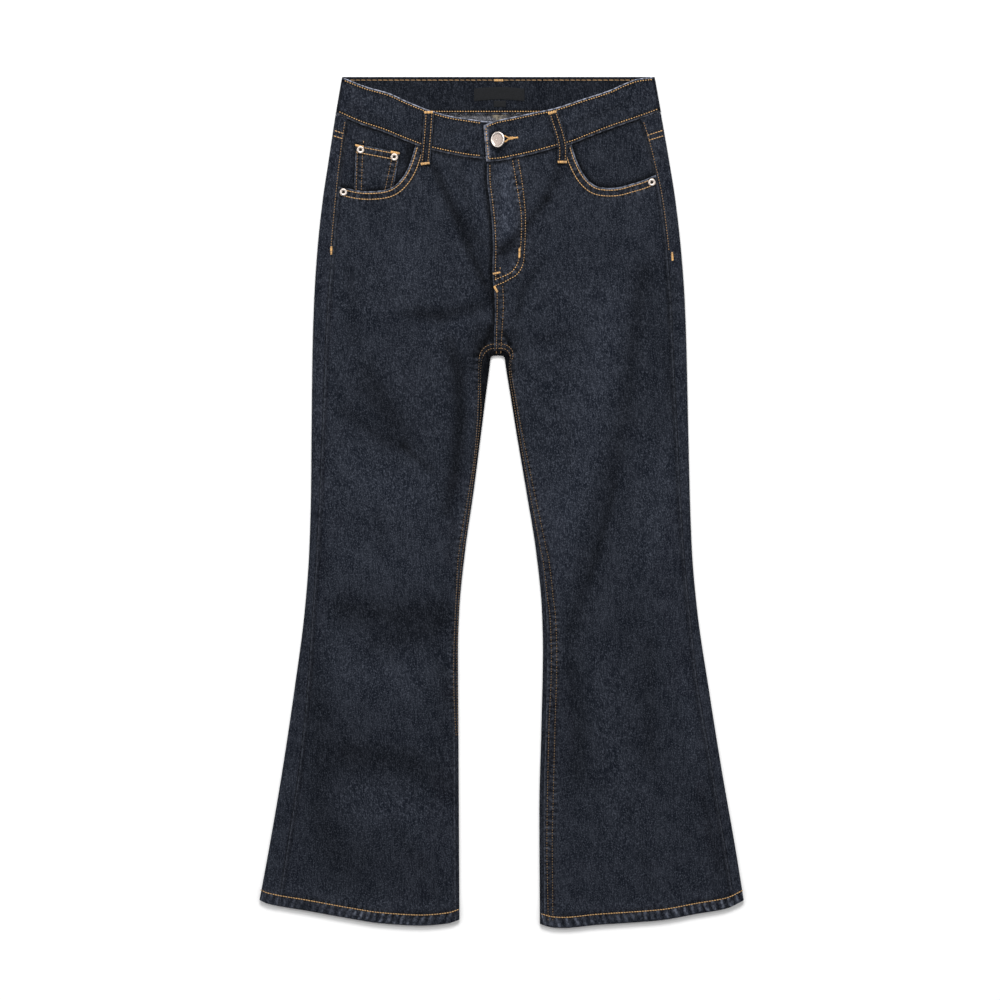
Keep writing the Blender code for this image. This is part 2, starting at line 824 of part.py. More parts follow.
def make_back_pocket(side, collection):
    half_top, half_low = 0.5 * POCKET_TOP_WIDTH, 0.5 * POCKET_LOW_WIDTH
    shape = [
        (-half_top, 0.0),
        (half_top, 0.0),
        (half_low, POCKET_DEPTH),
        (0.0, POCKET_DEPTH + POCKET_TIP),
        (-half_low, POCKET_DEPTH),
    ]
    tilt = Matrix.Rotation(POCKET_TILT * side, 2)
    middle = Vector((CENTRE + side * POCKET_MIDDLE, POCKET_TOP))
    outline = [tuple(middle + tilt @ Vector(p)) for p in shape]
    sheet = lifted(closed_outline(outline, 36.0), 40.0, lambda *_: 0.0, lambda *_: CLOTH)
    cloth(f"back_pocket_{SIDES[side]}", [sheet], collection)


def band_pair(top, low, share, outer, inner):
    x = top[0] + (low[0] - top[0]) * share
    down = top[1] + (low[1] - top[1]) * share
    return ((x, down, outer), (x, down, inner))


def band_section(table, low_x):
    """The four measures of the front band where its lower edge is at low_x."""
    top = (table.at("top_x", low_x), table.at("top", low_x))
    return top, (low_x, table.at("low", low_x)), table.at("outer", low_x)


def make_waistband(collection):
    """One strip, from the underlap over the right front, round the back and over the left front."""
    shares = (0.0, 0.5, 1.0)
    rows = []
    for side in (RIGHT, LEFT):
        table = BAND[side]
        fold_x = band_fold_x(side)
        end_x = table.keys[-1] if side == RIGHT else table.keys[0]
        half = []
        for low_x in np.linspace(end_x, fold_x, 18):
            top, low, outer = band_section(table, low_x)
            half.append([band_pair(top, low, s, outer, outer - BAND_CLOTH) for s in shares])
        top, low, outer = band_section(table, fold_x)
        middle = 0.5 * (BAND_LIFT + outer)
        tall = 0.5 * (outer - BAND_LIFT)
        for degrees in (60, 30, 0, -30, -60):
            turn = math.radians(degrees)
            out_x = side * BAND_FOLD_REACH * math.cos(turn)
            in_x = side * (BAND_FOLD_REACH - BAND_CLOTH) * math.cos(turn)
            drop = 0.5 * (1.0 - math.sin(turn))
            row = []
            for share in shares:
                x = top[0] + (low[0] - top[0]) * share
                down = top[1] * (1.0 - drop) * (1.0 - share) + low[1] * share
                row.append(
                    (
                        (x + out_x, down, middle + tall * math.sin(turn)),
                        (x + in_x, down, middle + (tall - BAND_CLOTH) * math.sin(turn)),
                    )
                )
            half.append(row)
        rows.append((half, top[0], low))
    (right_half, right_top, right_low), (left_half, left_top, left_low) = rows
    middle = 0.5 * (right_low[0] + left_low[0])
    low_line = [right_low, (middle, BACK_BAND_LOW), left_low]
    back = []
    for t in np.linspace(0.0, 1.0, 15):
        top = (right_top + (left_top - right_top) * t, 0.0)
        x = right_low[0] + (left_low[0] - right_low[0]) * t
        low = (x, float(np.interp(x, *zip(*low_line))))
        back.append([band_pair(top, low, s, BAND_LIFT, BAND_LIFT + BAND_CLOTH) for s in shares])
    cloth("waistband", [lofted(right_half + back + left_half[::-1])], collection)


FRONT_LOOPS = {
    RIGHT: [(-85.6, 42.0), (-87.6, 72.0), (-90.6, 103.5)],
    LEFT: [(60.2, 42.0), (71.0, 78.0), (71.5, 101.7)],
}
BACK_LOOPS = {"centre": -3.7, "right": -108.0, "left": 101.0}
LOOP_TOP, LOOP_LOW = 3.0, 58.0
LOOP_SLACK = 0.7


def make_front_loop(side, collection):
    """A strip tacked at the top of the band and below it, with a little slack between."""
    line = curve(FRONT_LOOPS[side], 6.0)
    table = BAND[side]
    rows = []
    for i, (x, down) in enumerate(line):
        before, after = line[max(i - 1, 0)], line[min(i + 1, len(line) - 1)]
        along = Vector((after[0] - before[0], after[1] - before[1])).normalized()
        across = Vector((along.y, -along.x))
        past_band = down - table.at("low", x)
        band_height = table.at("outer", x) + GAP
        panel_height = front_outer(side, x, down) + GAP
        height = band_height + (panel_height - band_height) * ease(past_band, 5.0, 15.0)
        height += 0.35 + LOOP_SLACK * math.sin(math.pi * i / (len(line) - 1))
        row = []
        for share in (-0.5, 0.5):
            place = Vector((x, down)) + share * LOOP_WIDTH * across
            row.append(((*place, height + CLOTH), (*place, height)))
        rows.append(row)
    cloth(f"belt_loop_front_{SIDES[side]}", [lofted(rows)], collection)


def make_back_loop(place, x, collection):
    half = 0.5 * LOOP_WIDTH
    rows = [
        [((x - half, down, 0.0), (x - half, down, CLOTH)), ((x + half, down, 0.0), (x + half, down, CLOTH))]
        for down in (LOOP_TOP, LOOP_LOW)
    ]
    name = "belt_loop_back" if place == "centre" else f"belt_loop_back_{place}"
    cloth(name, [lofted(rows)], collection)


def make_label(name, low_x, high_x, top, low, arch, collection):
    """A blank woven label on the inner face of the back band."""
    base = BAND_LIFT + BAND_CLOTH + GAP
    rows = []
    for t in np.linspace(0.0, 1.0, 7):
        x = low_x + (high_x - low_x) * t
        rise = arch * math.sin(math.pi * t)
        rows.append(
            [
                ((x, down - rise, base + LABEL_THICKNESS), (x, down - rise, base))
                for down in (top, low)
            ]
        )
    cloth(name, [lofted(rows)], collection, WOVEN)


def turned(name, profile, spec, collection):
    """A round metal piece: a profile of (radius, height) spun about its axis."""
    work = bmesh.new()
    points = [work.verts.new((radius * MM, 0.0, height * MM)) for radius, height in profile]
    edges = [work.edges.new(pair) for pair in zip(points, points[1:])]
    bmesh.ops.spin(
        work,
        geom=points + edges,
        angle=2.0 * math.pi,
        steps=20,
        axis=(0.0, 0.0, 1.0),
        cent=(0.0, 0.0, 0.0),
    )
    bmesh.ops.remove_doubles(work, verts=work.verts, dist=1e-6)
    bmesh.ops.recalc_face_normals(work, faces=work.faces)
    mesh = bpy.data.meshes.new(name)
    work.to_mesh(mesh)
    work.free()
    mesh.shade_smooth()
    mesh.set_sharp_from_angle(angle=math.radians(35.0))
    return add_object(name, mesh, spec, collection)


def make_rivet(name, x, down, base, collection):
    radius = RIVET_RADIUS
    profile = [
        (0.0, 0.0),
        (radius - 0.4, 0.0),
        (radius, 0.35),
        (radius - 0.5, 1.1),
        (0.62 * radius, 1.35),
        (0.42 * radius, 0.8),
        (0.0, 0.7),
    ]
    rivet = turned(name, profile, RIVET_METAL, collection)
    rivet.location = world(x, down, base)
    return rivet


def highest_near(height, x, down, radius):
    """The highest point of a surface under a round piece."""
    ring = [(x, down)]
    for degrees in range(0, 360, 30):
        turn = math.radians(degrees)
        ring.append((x + radius * math.cos(turn), down + radius * math.sin(turn)))
    return max(height(*place) for place in ring)


def make_rivets(collection):
    places = [
        ("rivet_coin_outer", -166.5, 86.4, coin_top),
        ("rivet_coin_inner", -126.6, 95.0, coin_top),
        ("rivet_pocket_right", -186.6, 136.4, partial(front_outer, RIGHT)),
        ("rivet_pocket_left", 177.2, 124.8, partial(front_outer, LEFT)),
    ]
    for name, x, down, surface in places:
        base = highest_near(surface, x, down, RIVET_RADIUS) + GAP
        make_rivet(name, x, down, base, collection)


def make_button(collection, cutters):
    """A shank button whose loose head leans on its neck."""
    radius = BUTTON_RADIUS
    profile = [
        (0.0, -0.9),
        (0.55 * radius, -0.9),
        (radius - 0.5, -0.2),
        (radius, 0.5),
        (radius - 0.5, 1.3),
        (0.80 * radius, 1.5),
        (0.66 * radius, 0.7),
        (0.0, 0.55),
    ]
    head = turned("button", profile, NICKEL, collection)
    x, down = BUTTON_PLACE
    table = BAND[LEFT]
    seat = table.at("outer", x) + GAP
    head.location = world(x, down, seat + BUTTON_STAND)
    head.rotation_euler = (0.0, BUTTON_LEAN, 0.0)
    neck_profile = [
        (0.0, 0.0),
        (SHANK_RADIUS + 1.2, 0.0),
        (SHANK_RADIUS, 1.2),
        (SHANK_RADIUS, BUTTON_STAND),
        (0.0, BUTTON_STAND),
    ]
    neck = turned("button_neck", neck_profile, NICKEL, cutters)
    neck.location = world(x, down, seat)
    neck.hide_render = True
    neck.display_type = "WIRE"
    join = head.modifiers.new("neck", "BOOLEAN")
    join.operation = "UNION"
    join.solver = "EXACT"
    join.object = neck
    return head


def main():
    for old in list(bpy.data.objects):
        bpy.data.objects.remove(old)
    jeans = bpy.data.collections.new("wide_leg_jeans")
    cutters = bpy.data.collections.new("cutters")
    bpy.context.scene.collection.children.link(jeans)
    bpy.context.scene.collection.children.link(cutters)
    for side in (RIGHT, LEFT):
        make_back(side, jeans)
        make_yoke(side, jeans)
        make_back_pocket(side, jeans)
        make_facing(side, jeans)
        make_front(side, jeans)
        make_front_loop(side, jeans)
    make_coin_pocket(jeans)
    make_waistband(jeans)
    for place, x in BACK_LOOPS.items():
        make_back_loop(place, x, jeans)
    for name, sizes in LABEL_SIZES.items():
        make_label(name, *sizes, jeans)
    make_rivets(jeans)
    make_button(jeans, cutters)


main()
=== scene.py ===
# %% [markdown]
# # Wide-leg denim jeans, laid flat
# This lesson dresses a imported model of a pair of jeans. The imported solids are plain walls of
# cloth. Here each of them gets a fine shell with creases, stitched seams and a denim finish, and
# the camera looks straight down, as in a catalogue picture of a garment that lies flat.

import math
import random
from functools import partial

import bmesh
import bpy
import numpy as np
from mathutils import Matrix, Vector, kdtree
from mathutils.geometry import delaunay_2d_cdt

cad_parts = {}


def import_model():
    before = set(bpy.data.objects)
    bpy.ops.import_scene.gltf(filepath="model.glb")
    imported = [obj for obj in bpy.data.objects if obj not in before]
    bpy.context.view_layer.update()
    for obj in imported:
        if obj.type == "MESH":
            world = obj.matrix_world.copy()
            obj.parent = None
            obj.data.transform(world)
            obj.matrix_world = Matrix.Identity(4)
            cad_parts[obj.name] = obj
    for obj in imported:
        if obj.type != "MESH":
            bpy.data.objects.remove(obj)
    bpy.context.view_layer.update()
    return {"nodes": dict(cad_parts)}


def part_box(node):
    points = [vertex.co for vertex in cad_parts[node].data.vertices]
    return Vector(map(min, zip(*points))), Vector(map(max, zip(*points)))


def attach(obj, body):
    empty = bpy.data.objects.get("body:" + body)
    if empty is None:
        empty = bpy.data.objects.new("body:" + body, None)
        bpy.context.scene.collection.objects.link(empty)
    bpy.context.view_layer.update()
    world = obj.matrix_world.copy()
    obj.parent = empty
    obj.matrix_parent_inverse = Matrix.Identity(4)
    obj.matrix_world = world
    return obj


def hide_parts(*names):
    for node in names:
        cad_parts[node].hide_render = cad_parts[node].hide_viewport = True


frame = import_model()
print("nodes:", sorted(frame["nodes"]))

# %% [markdown]
# ## Sizes
# All sizes are in millimetres. `x` runs across from the middle of the spread garment and `down`
# runs from the back waist edge to the hems, so a pattern cutter could read them. Right and left
# are the wearer's, so right is at negative x. A small table with named columns holds what a tape
# measure would find at each level, and a smooth curve runs through its rows.

# %% Units, layers and the smooth table
MM = 0.001
RIGHT, LEFT = -1, 1
SIDES = {RIGHT: "right", LEFT: "left"}
LENGTH = 1004.4
CENTRE = -4.5
CLOTH = 1.1
HEM_CLOTH = 2.0
BAND_CLOTH = 2.4
GAP = 0.3
LAYER = CLOTH + GAP
HEM_DEPTH = 15.0
HEM_ROW = 12.5
FOLD_REACH = 2.8
BAND_FOLD_REACH = 3.3
BAND_LIFT = 1.6
BACK_BAND_LOW = 44.5
CROTCH = 329.0
CROTCH_CORNER = 3.2
YOKE_SIDE, YOKE_CENTRE = 60.5, 106.0
FLY_LAP = 10.0
FACING_REACH = 13.0
LOOP_WIDTH = 11.0


class Table:
    """Measures under named columns, read smoothly between the rows by the first column."""

    def __init__(self, columns, rows):
        data = np.array(sorted(rows), float)
        self.keys = data[:, 0]
        self.columns = {}
        for name, values in zip(columns.split(), data.T):
            self.columns[name] = (values, self.slopes(values))

    def slopes(self, values):
        """Slopes at the rows, flat at a peak, so that the curve never overshoots a measure."""
        steps = np.diff(values) / np.diff(self.keys)
        product = steps[:-1] * steps[1:]
        total = np.where(product > 0, steps[:-1] + steps[1:], 1.0)
        middle = np.where(product > 0, 2 * product / total, 0.0)
        return np.concatenate([steps[:1], middle, steps[-1:]])

    def at(self, name, key):
        values, slopes = self.columns[name]
        key = np.clip(key, self.keys[0], self.keys[-1])
        i = np.clip(np.searchsorted(self.keys, key) - 1, 0, len(self.keys) - 2)
        span = self.keys[i + 1] - self.keys[i]
        t = (key - self.keys[i]) / span
        return (
            (2 * t**3 - 3 * t**2 + 1) * values[i]
            + (t**3 - 2 * t**2 + t) * slopes[i] * span
            + (3 * t**2 - 2 * t**3) * values[i + 1]
            + (t**3 - t**2) * slopes[i + 1] * span
        )


print("waist to hem:", LENGTH, "mm")

# %% [markdown]
# ## Outline
# The silhouette of the photographed pair comes first: its outer folds with the outseams that run
# inside them, its inner folds with the inseams, and the curved hems. The two legs are measured
# one by one, because a pair that is laid out by hand is never quite symmetric.

# %% Outline tables
OUTER = {
    RIGHT: Table("down edge seam slant", [
        (42.7, -195.7, 14, 0.37), (60.5, -198.4, 14, 0.35), (98, -204.1, 14.8, 0.20),
        (145.4, -211.2, 16.9, 0.12), (204.4, -217.5, 18, 0.08), (263.4, -221.3, 16.4, 0.05),
        (329.5, -223.4, 15.3, 0.02), (416.8, -224.4, 12.9, 0.01), (487.6, -225, 10.7, 0.01),
        (558.4, -227.1, 9, 0.05), (629.2, -232.4, 9.6, 0.10), (723.6, -244.7, 15.3, 0.14),
        (818, -258.8, 19.5, 0.16), (912.4, -274.9, 21.1, 0.19), (971.4, -285.8, 23, 0.20),
    ]),
    LEFT: Table("down edge seam slant", [
        (40.5, 187.3, 24, 0.34), (60.5, 191, 21.5, 0.32), (98, 197.5, 19, 0.20),
        (145.4, 205, 16.8, 0.12), (204.4, 211.7, 16.5, 0.08), (263.4, 216, 16.5, 0.05),
        (329.5, 218.4, 15.9, 0.02), (416.8, 220.3, 13.5, 0.01), (487.6, 222, 11.6, 0.02),
        (558.4, 224.6, 9.8, 0.06), (629.2, 230.8, 9.1, 0.11), (723.6, 244.7, 12.4, 0.15),
        (818, 259.8, 11.1, 0.17), (912.4, 276.3, 11.8, 0.19), (971.8, 285.8, 11.5, 0.20),
    ]),
}
INNER = {
    RIGHT: Table("down edge seam", [
        (329, -12.8, 5.5), (345, -14.6, 7.6), (369.6, -17.9, 7.6), (416.8, -23.8, 4.6),
        (487.6, -32.9, 4), (558.4, -43, 4), (629.2, -50, 4), (676.4, -51.5, 4),
        (770.8, -51, 4), (994.6, -49.8, 4),
    ]),
    LEFT: Table("down edge seam", [
        (329, 3.2, 5.5), (345, 5.3, 5.2), (369.6, 9.4, 4.6), (416.8, 16.9, 4.4),
        (487.6, 28.9, 4.4), (558.4, 40.4, 4.6), (629.2, 47.5, 4.8), (676.4, 48.7, 4.8),
        (770.8, 46.8, 4.8), (865.2, 44.5, 4.8), (999.7, 45.1, 4.8),
    ]),
}
HEM = {
    RIGHT: Table("x down", [
        (-285.8, 971.4), (-276.2, 975.6), (-227.7, 984.4), (-175.8, 993.8), (-141.2, 999),
        (-94.5, 1001.6), (-63.3, 999), (-49.8, 994.6),
    ]),
    LEFT: Table("x down", [
        (45.1, 999.7), (61.4, 1003.9), (72.3, 1004.4), (111.9, 1000.8), (147.9, 998.4),
        (187.8, 995.3), (229.3, 987.9), (265.4, 981.4), (285.8, 971.8),
    ]),
}
BAND = {
    RIGHT: Table("low_x low top_x top outer", [
        (-195.7, 43.5, -188, 0.6, 7.6), (-166, 56.5, -160, 11.7, 7.5),
        (-139, 65.5, -133.5, 19.2, 7.3), (-115, 75.3, -110, 29.8, 7.2),
        (-88.5, 85, -85, 39.5, 7), (-62.5, 91, -60.5, 46.3, 6.7),
        (-39, 95.2, -38, 49.8, 6.3), (-21, 97, -21, 52.2, 6.1),
        (9, 98, 9, 54, 6.1),
    ]),
    LEFT: Table("low_x low top_x top outer", [
        (-18, 100.8, -21.4, 57.5, 8.9), (-3.5, 99.8, -4.3, 51.3, 8.9),
        (13, 96.7, 12, 48, 8.7), (38, 91.2, 37, 42.6, 8.1),
        (65, 83.9, 62, 37.3, 7.8), (82, 79.7, 78.5, 32.2, 7.6),
        (98.5, 73.2, 95, 26.6, 7.5), (115, 66.7, 111, 21.6, 7.5),
        (133, 60, 128, 15.8, 7.5), (149, 54.6, 144.5, 8.4, 7.6),
        (166, 48.8, 161, 2.5, 7.6), (187.3, 41, 179.5, 0.4, 7.6),
    ]),
}
SCOOP = {
    RIGHT: [(-101.5, 80.7), (-107, 98.9), (-112.3, 111.5), (-119.6, 122.2), (-127.6, 129.6),
            (-137.6, 133.6), (-153, 135.3), (-169.2, 134.5), (-192.4, 129.6)],
    LEFT: [(82.5, 80.5), (88.4, 98.9), (98.2, 117.5), (109.9, 128.3), (122.7, 131.2),
           (137.3, 130.7), (152, 126.8), (166.7, 122.4), (182.5, 115.9)],
}
FLY = Table("down edge lap_end", [
    (98, -17.4, 20), (121.8, -17.1, 23), (145.4, -14.3, 26), (180.8, -10.9, 27),
    (204.4, -10.2, 26), (225.6, -10.8, 21), (241, -10.2, 12), (259.8, -8.2, 6),
    (284.6, -7.8, 5), (304.7, -9, 5), (329, -8.5, 5),
])
COIN_POCKET = [(-172, 79.6), (-120.4, 89.4), (-126.8, 125.9), (-131, 141), (-174, 141)]
for side, name in SIDES.items():
    hem_ends = [table.columns["edge"][0][-1] for table in (OUTER[side], INNER[side])]
    print(name, "hem:", round(abs(hem_ends[0] - hem_ends[1]), 1), "mm wide")

# %% [markdown]
# ## Heights
# The front lies a few millimetres above the surface, thick at the hips where pockets, facings and
# waistband are stacked, and thin on the legs. The largest folds are the same as in the packed
# solids.

# %% Height table and folds
FRONT_HEIGHT = Table("down height", [
    (40, 7), (60, 6.7), (100, 6.2), (150, 6), (200, 5.8), (260, 5.2),
    (330, 4.3), (450, 3.8), (630, 3.5), (1004.4, 3.5),
])
HEM_RISE = 1.4
ROPE_PERIOD, ROPE_HEIGHT = 8.6, 0.40
FOLDS = [
    # half width, height, then x and down of each point
    (9, -0.9, -80, 112, -20, 250),
    (8, 0.6, -62, 112, -16, 215),
    (10, -0.8, 72, 115, 26, 240),
    (8, -0.8, -15, 268, -75, 284),
    (12, 0.9, -20, 300, -90, 312),
    (12, -0.6, -42, 345, -56, 520),
    (14, -0.5, -165, 375, -85, 460),
    (20, 0.9, -200, 505, -95, 480),
    (14, -0.6, -195, 636, -65, 640),
    (20, 1.2, -190, 672, -70, 700),
    (16, -0.6, -180, 790, -60, 812),
    (22, 0.8, -200, 850, -90, 850),
    (14, -0.8, 168, 240, 128, 470),
    (15, -0.6, 128, 470, 78, 690),
    (18, 1, 140, 250, 96, 470),
    (14, 0.8, 96, 480, 62, 600),
    (16, 0.7, 190, 330, 168, 560),
    (22, 0.8, 120, 700, 150, 900),
]
print(len(FOLDS), "folds")

# %% [markdown]
# The fine creases come on top: soft troughs and ridges, each placed one by one. Each crease also
# has a wash: its ridge is painted paler and its trough darker, as painted shading, partly with the
# wear of the rinse. Wide places that are only paler or darker, without a height of their own, are
# listed as shades: painted light and shade.

# %% Creases and shades
CREASES = [
    # half width, height, wash (painted shading, partly wear), then x and down of each point
    (5.2, -0.75, -0.40, -80, 106, -61, 150, -43, 192, -14, 258),
    (4, -0.50, -0.20, -52, 162, -32, 189, -12, 202),
    (5, 0.35, 0.20, -66, 112, -46, 150),
    (4.5, 0.40, 0.22, -36, 112, -24, 168),
    (4, 0.35, 0.15, -34, 205, -18, 236),
    (6, -0.60, -0.50, 0, 203, 14, 190, 33, 170, 52, 146),
    (7, -0.50, -0.32, 54, 142, 68, 112),
    (6, -0.45, -0.32, 51, 214, 26, 250, 18, 282),
    (6, 0.30, 0.15, 38, 236, 62, 196),
    (8.5, -0.60, -0.30, -96, 277, -62, 280, -32, 273, -14, 266),
    (7, -0.30, -0.22, -112, 280, -70, 286),
    (5, 0.35, 0.12, -30, 288, -62, 296),
    (8.5, -0.70, -0.36, -62, 312, -52, 346, -49, 404, -55, 462, -64, 512),
    (6, -0.30, -0.20, -56, 530, -61, 572),
    (5, 0.35, 0.15, -36, 352, -38, 430),
    (8, -0.40, -0.24, -185, 393, -144, 428, -114, 435),
    (4.5, -0.55, -0.34, -116, 436, -84, 464),
    (12, -0.30, -0.20, -161, 340, -126, 408),
    (9, -0.25, -0.16, -179, 228, -173, 312),
    (7, -0.20, -0.14, -226, 515, -208, 584),
    (7, -0.20, -0.14, -146, 520, -141, 562),
    (12, -0.40, -0.12, -190, 627, -120, 634, -72, 627),
    (11, -0.40, -0.12, -150, 673, -110, 662, -74, 647),
    (8, -0.25, -0.20, -67, 700, -61, 738),
    (14, -0.45, -0.12, -178, 800, -130, 806, -80, 820, -61, 846),
    (5, 0.30, 0.10, -150, 780, -90, 790),
    (14, -0.30, -0.12, -232, 672, -214, 772, -214, 848, -202, 914),
    (9, -0.20, -0.15, -130, 880, -96, 930),
    (8.5, -0.60, -0.13, 169, 228, 155, 322, 143, 416, 125, 511, 110, 570,
     80, 654),
    (4, -0.30, -0.16, 134, 480, 118, 545, 104, 592),
    (5, -0.40, -0.36, 204, 234, 201, 290),
    (6, -0.25, -0.20, 192, 320, 203, 395),
    (7, -0.25, -0.18, 40, 311, 92, 304),
    (5, -0.20, -0.14, 74, 404, 81, 466),
    (12, -0.30, -0.24, 82, 700, 92, 770, 90, 820),
    (9, -0.25, -0.16, 175, 668, 175, 808),
    (6, -0.25, -0.20, 234, 842, 258, 938),
    (8, -0.20, -0.12, 150, 860, 176, 950),
    (6, 0.25, 0.12, 212, 700, 226, 800),
    (1.8, 0.25, 0.40, 9, 306, 12, 313, 14.8, 322, 16, 336, 16, 348),
]
SHADES = [
    # half width, wash (painted light or shade), then x and down of each point
    (11, 0.60, 4, 112, 6, 150, 4, 182),
    (5, 0.22, 8, 230, 20, 222),
    (8, -0.36, -2, 209, 9, 206, 17, 196),
    (26, 0.18, -114, 200, -108, 228),
    (22, -0.20, -160, 366, -118, 424),
    (14, -0.20, -52, 334, -46, 400, -54, 480),
    (30, 0.22, -170, 462, -110, 500),
    (28, 0.14, -176, 562, -112, 572),
    (26, -0.24, -180, 628, -132, 638, -74, 634),
    (22, -0.14, -146, 676, -104, 664, -64, 650),
    (26, 0.20, -196, 702, -116, 714),
    (26, -0.26, -180, 802, -126, 808, -72, 832),
    (30, -0.20, -226, 700, -212, 780, -218, 870, -188, 930),
    (18, -0.16, -70, 690, -62, 780),
    (22, 0.16, -152, 868, -108, 872),
    (34, 0.18, 122, 284, 104, 410, 74, 500),
    (24, 0.12, 72, 520, 62, 590),
    (18, -0.16, 160, 236, 146, 400, 118, 520, 80, 665),
    (26, -0.14, 190, 232, 184, 400),
    (20, 0.12, 190, 470, 180, 560),
    (30, -0.12, 84, 700, 88, 830),
    (26, -0.10, 152, 640, 172, 800),
    (26, -0.14, 250, 850, 266, 950),
    (34, -0.12, -160, 920, -90, 950),
    (12, -0.45, -26, 300, -26, 340),
    (9, -0.25, 14, 300, 18, 334),
    (12, -0.22, -60, 110, -34, 190, -16, 236),
]
BAND_CREASES = [
    # the same columns as CREASES
    (3.2, 0.25, 0.20, -80, 82, -64, 68, -48, 72),
    (3.4, -0.35, -0.30, -74, 74, -54, 62),
    (3, 0.20, 0.16, -56, 88, -34, 78),
    (3.4, -0.30, -0.26, -40, 90, -26, 72),
    (5, 0.20, 0.15, -160, 30, -120, 52),
    (5, -0.25, -0.20, -176, 36, -134, 58),
    (4, 0.20, 0.18, 20, 74, 48, 62),
    (4, -0.25, -0.24, 26, 86, 56, 72),
    (3, 0.20, 0.20, 76, 50, 92, 42),
    (5, -0.25, -0.22, 96, 52, 150, 30),
]
BACK_CREASES = [
    # the same columns as CREASES
    (6, 0.35, 0.10, -30, 250, -80, 292),
    (7, -0.35, -0.20, -16, 270, -70, 318),
    (6, -0.35, -0.20, 14, 262, 74, 306),
    (8, 0.30, 0.12, 30, 300, 96, 336),
    (9, -0.35, -0.22, -70, 340, -78, 420, -96, 500),
    (10, -0.30, -0.20, 60, 360, 96, 470),
    (14, 0.30, 0.14, -180, 470, -110, 500),
    (11, -0.35, -0.24, -196, 640, -130, 650, -78, 634),
    (12, -0.30, -0.18, 96, 620, 190, 650),
    (14, -0.35, -0.24, -190, 806, -84, 826),
    (12, -0.25, -0.18, 110, 760, 170, 860),
]
print(len(CREASES), "creases and", len(SHADES), "shades on the front")

# %% [markdown]
# All heights, painted shading and washes are functions of a place on the pattern, so every layer
# of cloth can ask for the height of the layer below and lie on it without touching.

# %% Height of each layer
def ease(value, low, high):
    """0 up to low, 1 from high, and smooth between them."""
    t = np.clip((value - low) / (high - low), 0.0, 1.0)
    return t * t * (3.0 - 2.0 * t)


def relief(lines, x, down, column=1, first=2):
    """Soft ridges and troughs along lines of points, summed. A column holds their heights."""
    total = np.zeros(np.broadcast(x, down).shape)
    for line in lines:
        away = np.full(total.shape, np.inf)
        places = np.reshape(line[first:], (-1, 2))
        for (x1, down1), (x2, down2) in zip(places, places[1:]):
            across, along = x2 - x1, down2 - down1
            t = ((x - x1) * across + (down - down1) * along) / (across**2 + along**2)
            t = np.clip(t, 0.0, 1.0)
            away = np.minimum(away, np.hypot(x - x1 - t * across, down - down1 - t * along))
        total = total + line[column] * np.exp(-((away / line[0]) ** 2))
    return total


def hem(side, x):
    return HEM[side].at("down", x)


def thickness(side, x, down):
    """The cloth's thickness, with the turned-up hem counted in."""
    edge = hem(side, x)
    return CLOTH + (HEM_CLOTH - CLOTH) * ease(down, edge - HEM_DEPTH - 3.0, edge - HEM_DEPTH)


def front_plain(side, x, down):
    """Height of the front's outer face with its largest folds."""
    edge = hem(side, x)
    rise = HEM_RISE * ease(down, edge - HEM_DEPTH - 18.0, edge - HEM_DEPTH + 2.0)
    return FRONT_HEIGHT.at("height", down) + relief(FOLDS, x, down) + rise


def hem_rope(side, x, down):
    """The slanting ridges that a turned hem twists into: height, rubbed tops and dark gaps."""
    edge = hem(side, x)
    s = x + 0.35 * side * (edge - down)
    drift = 1.9 * np.sin(s / 23.0) + 1.1 * np.sin(s / 9.7 + side)
    wave = np.sin(2 * math.pi * s / ROPE_PERIOD + drift)
    wave = wave * (0.84 + 0.16 * np.sin(s / 31.0))
    band = ease(down, edge - 12.4, edge - 10.9) * (1.0 - 0.5 * ease(down, edge - 1.5, edge))
    tops, gaps = np.clip(wave, 0.0, 1.0) ** 3 * band, np.clip(-wave, 0.0, 1.0) * band
    return ROPE_HEIGHT * wave * band, tops, gaps


def front_top(side, x, down):
    """The same height with the fine creases and the roped hem."""
    fine = relief(CREASES, x, down, 1, 3) + hem_rope(side, x, down)[0]
    return front_plain(side, x, down) + fine


def front_wash(x, down):
    """How much paler (+) or darker (-) the front is: painted shading and light, partly rinse wear.
    """
    wash = relief(CREASES, x, down, 2, 3) + relief(SHADES, x, down)
    return wash + 0.08 * relief(FOLDS, x, down)


def back_wash(x, down):
    """The same painted shading and wear for the back, where every place is a guess."""
    return relief(BACK_CREASES, x, down, 2, 3)


def back_low(down):
    """Height of the back's outer face: it rests on its pockets and loops, then on the floor."""
    return 0.45 * (1.0 - ease(down, 46.0, 80.0)) + (LAYER + 0.05) * (1.0 - ease(down, 285.0, 323.0))


def fly_lap(x, down):
    """How far the left front rises where it laps over the right one."""
    end = FLY.at("lap_end", down)
    return (LAYER + 0.1) * (1.0 - ease(x, end, end + 14.0))


def coin_bulge(x, down):
    """The rise of the right front over the hidden end of the coin pocket."""
    across = ease(x, -196.0, -178.0) * (1.0 - ease(x, -124.0, -106.0))
    return (LAYER + 0.1) * across * (1.0 - ease(down, 144.0, 166.0))


def front_outer(side, x, down):
    return front_top(side, x, down) + (fly_lap(x, down) if side == LEFT else coin_bulge(x, down))


def facing_top(side, x, down):
    return front_top(side, x, down) - LAYER


def coin_top(x, down):
    return facing_top(RIGHT, x, down) + LAYER


print("front height at the knee:", round(float(front_plain(RIGHT, -150.0, 630.0)), 2), "mm")

# %% [markdown]
# ## Lines on the pattern
# Seams, edges and rows of stitches are all lines on the flat pattern. A few helpers resample a
# line, bend it through points and move it sideways, the way a seam allowance is drawn.

# %% Line helpers
CIRCLE_STEPS = 28


def run_along(points):
    """How far along the line each point lies."""
    return np.concatenate([[0.0], np.cumsum(np.linalg.norm(np.diff(points, axis=0), axis=1))])


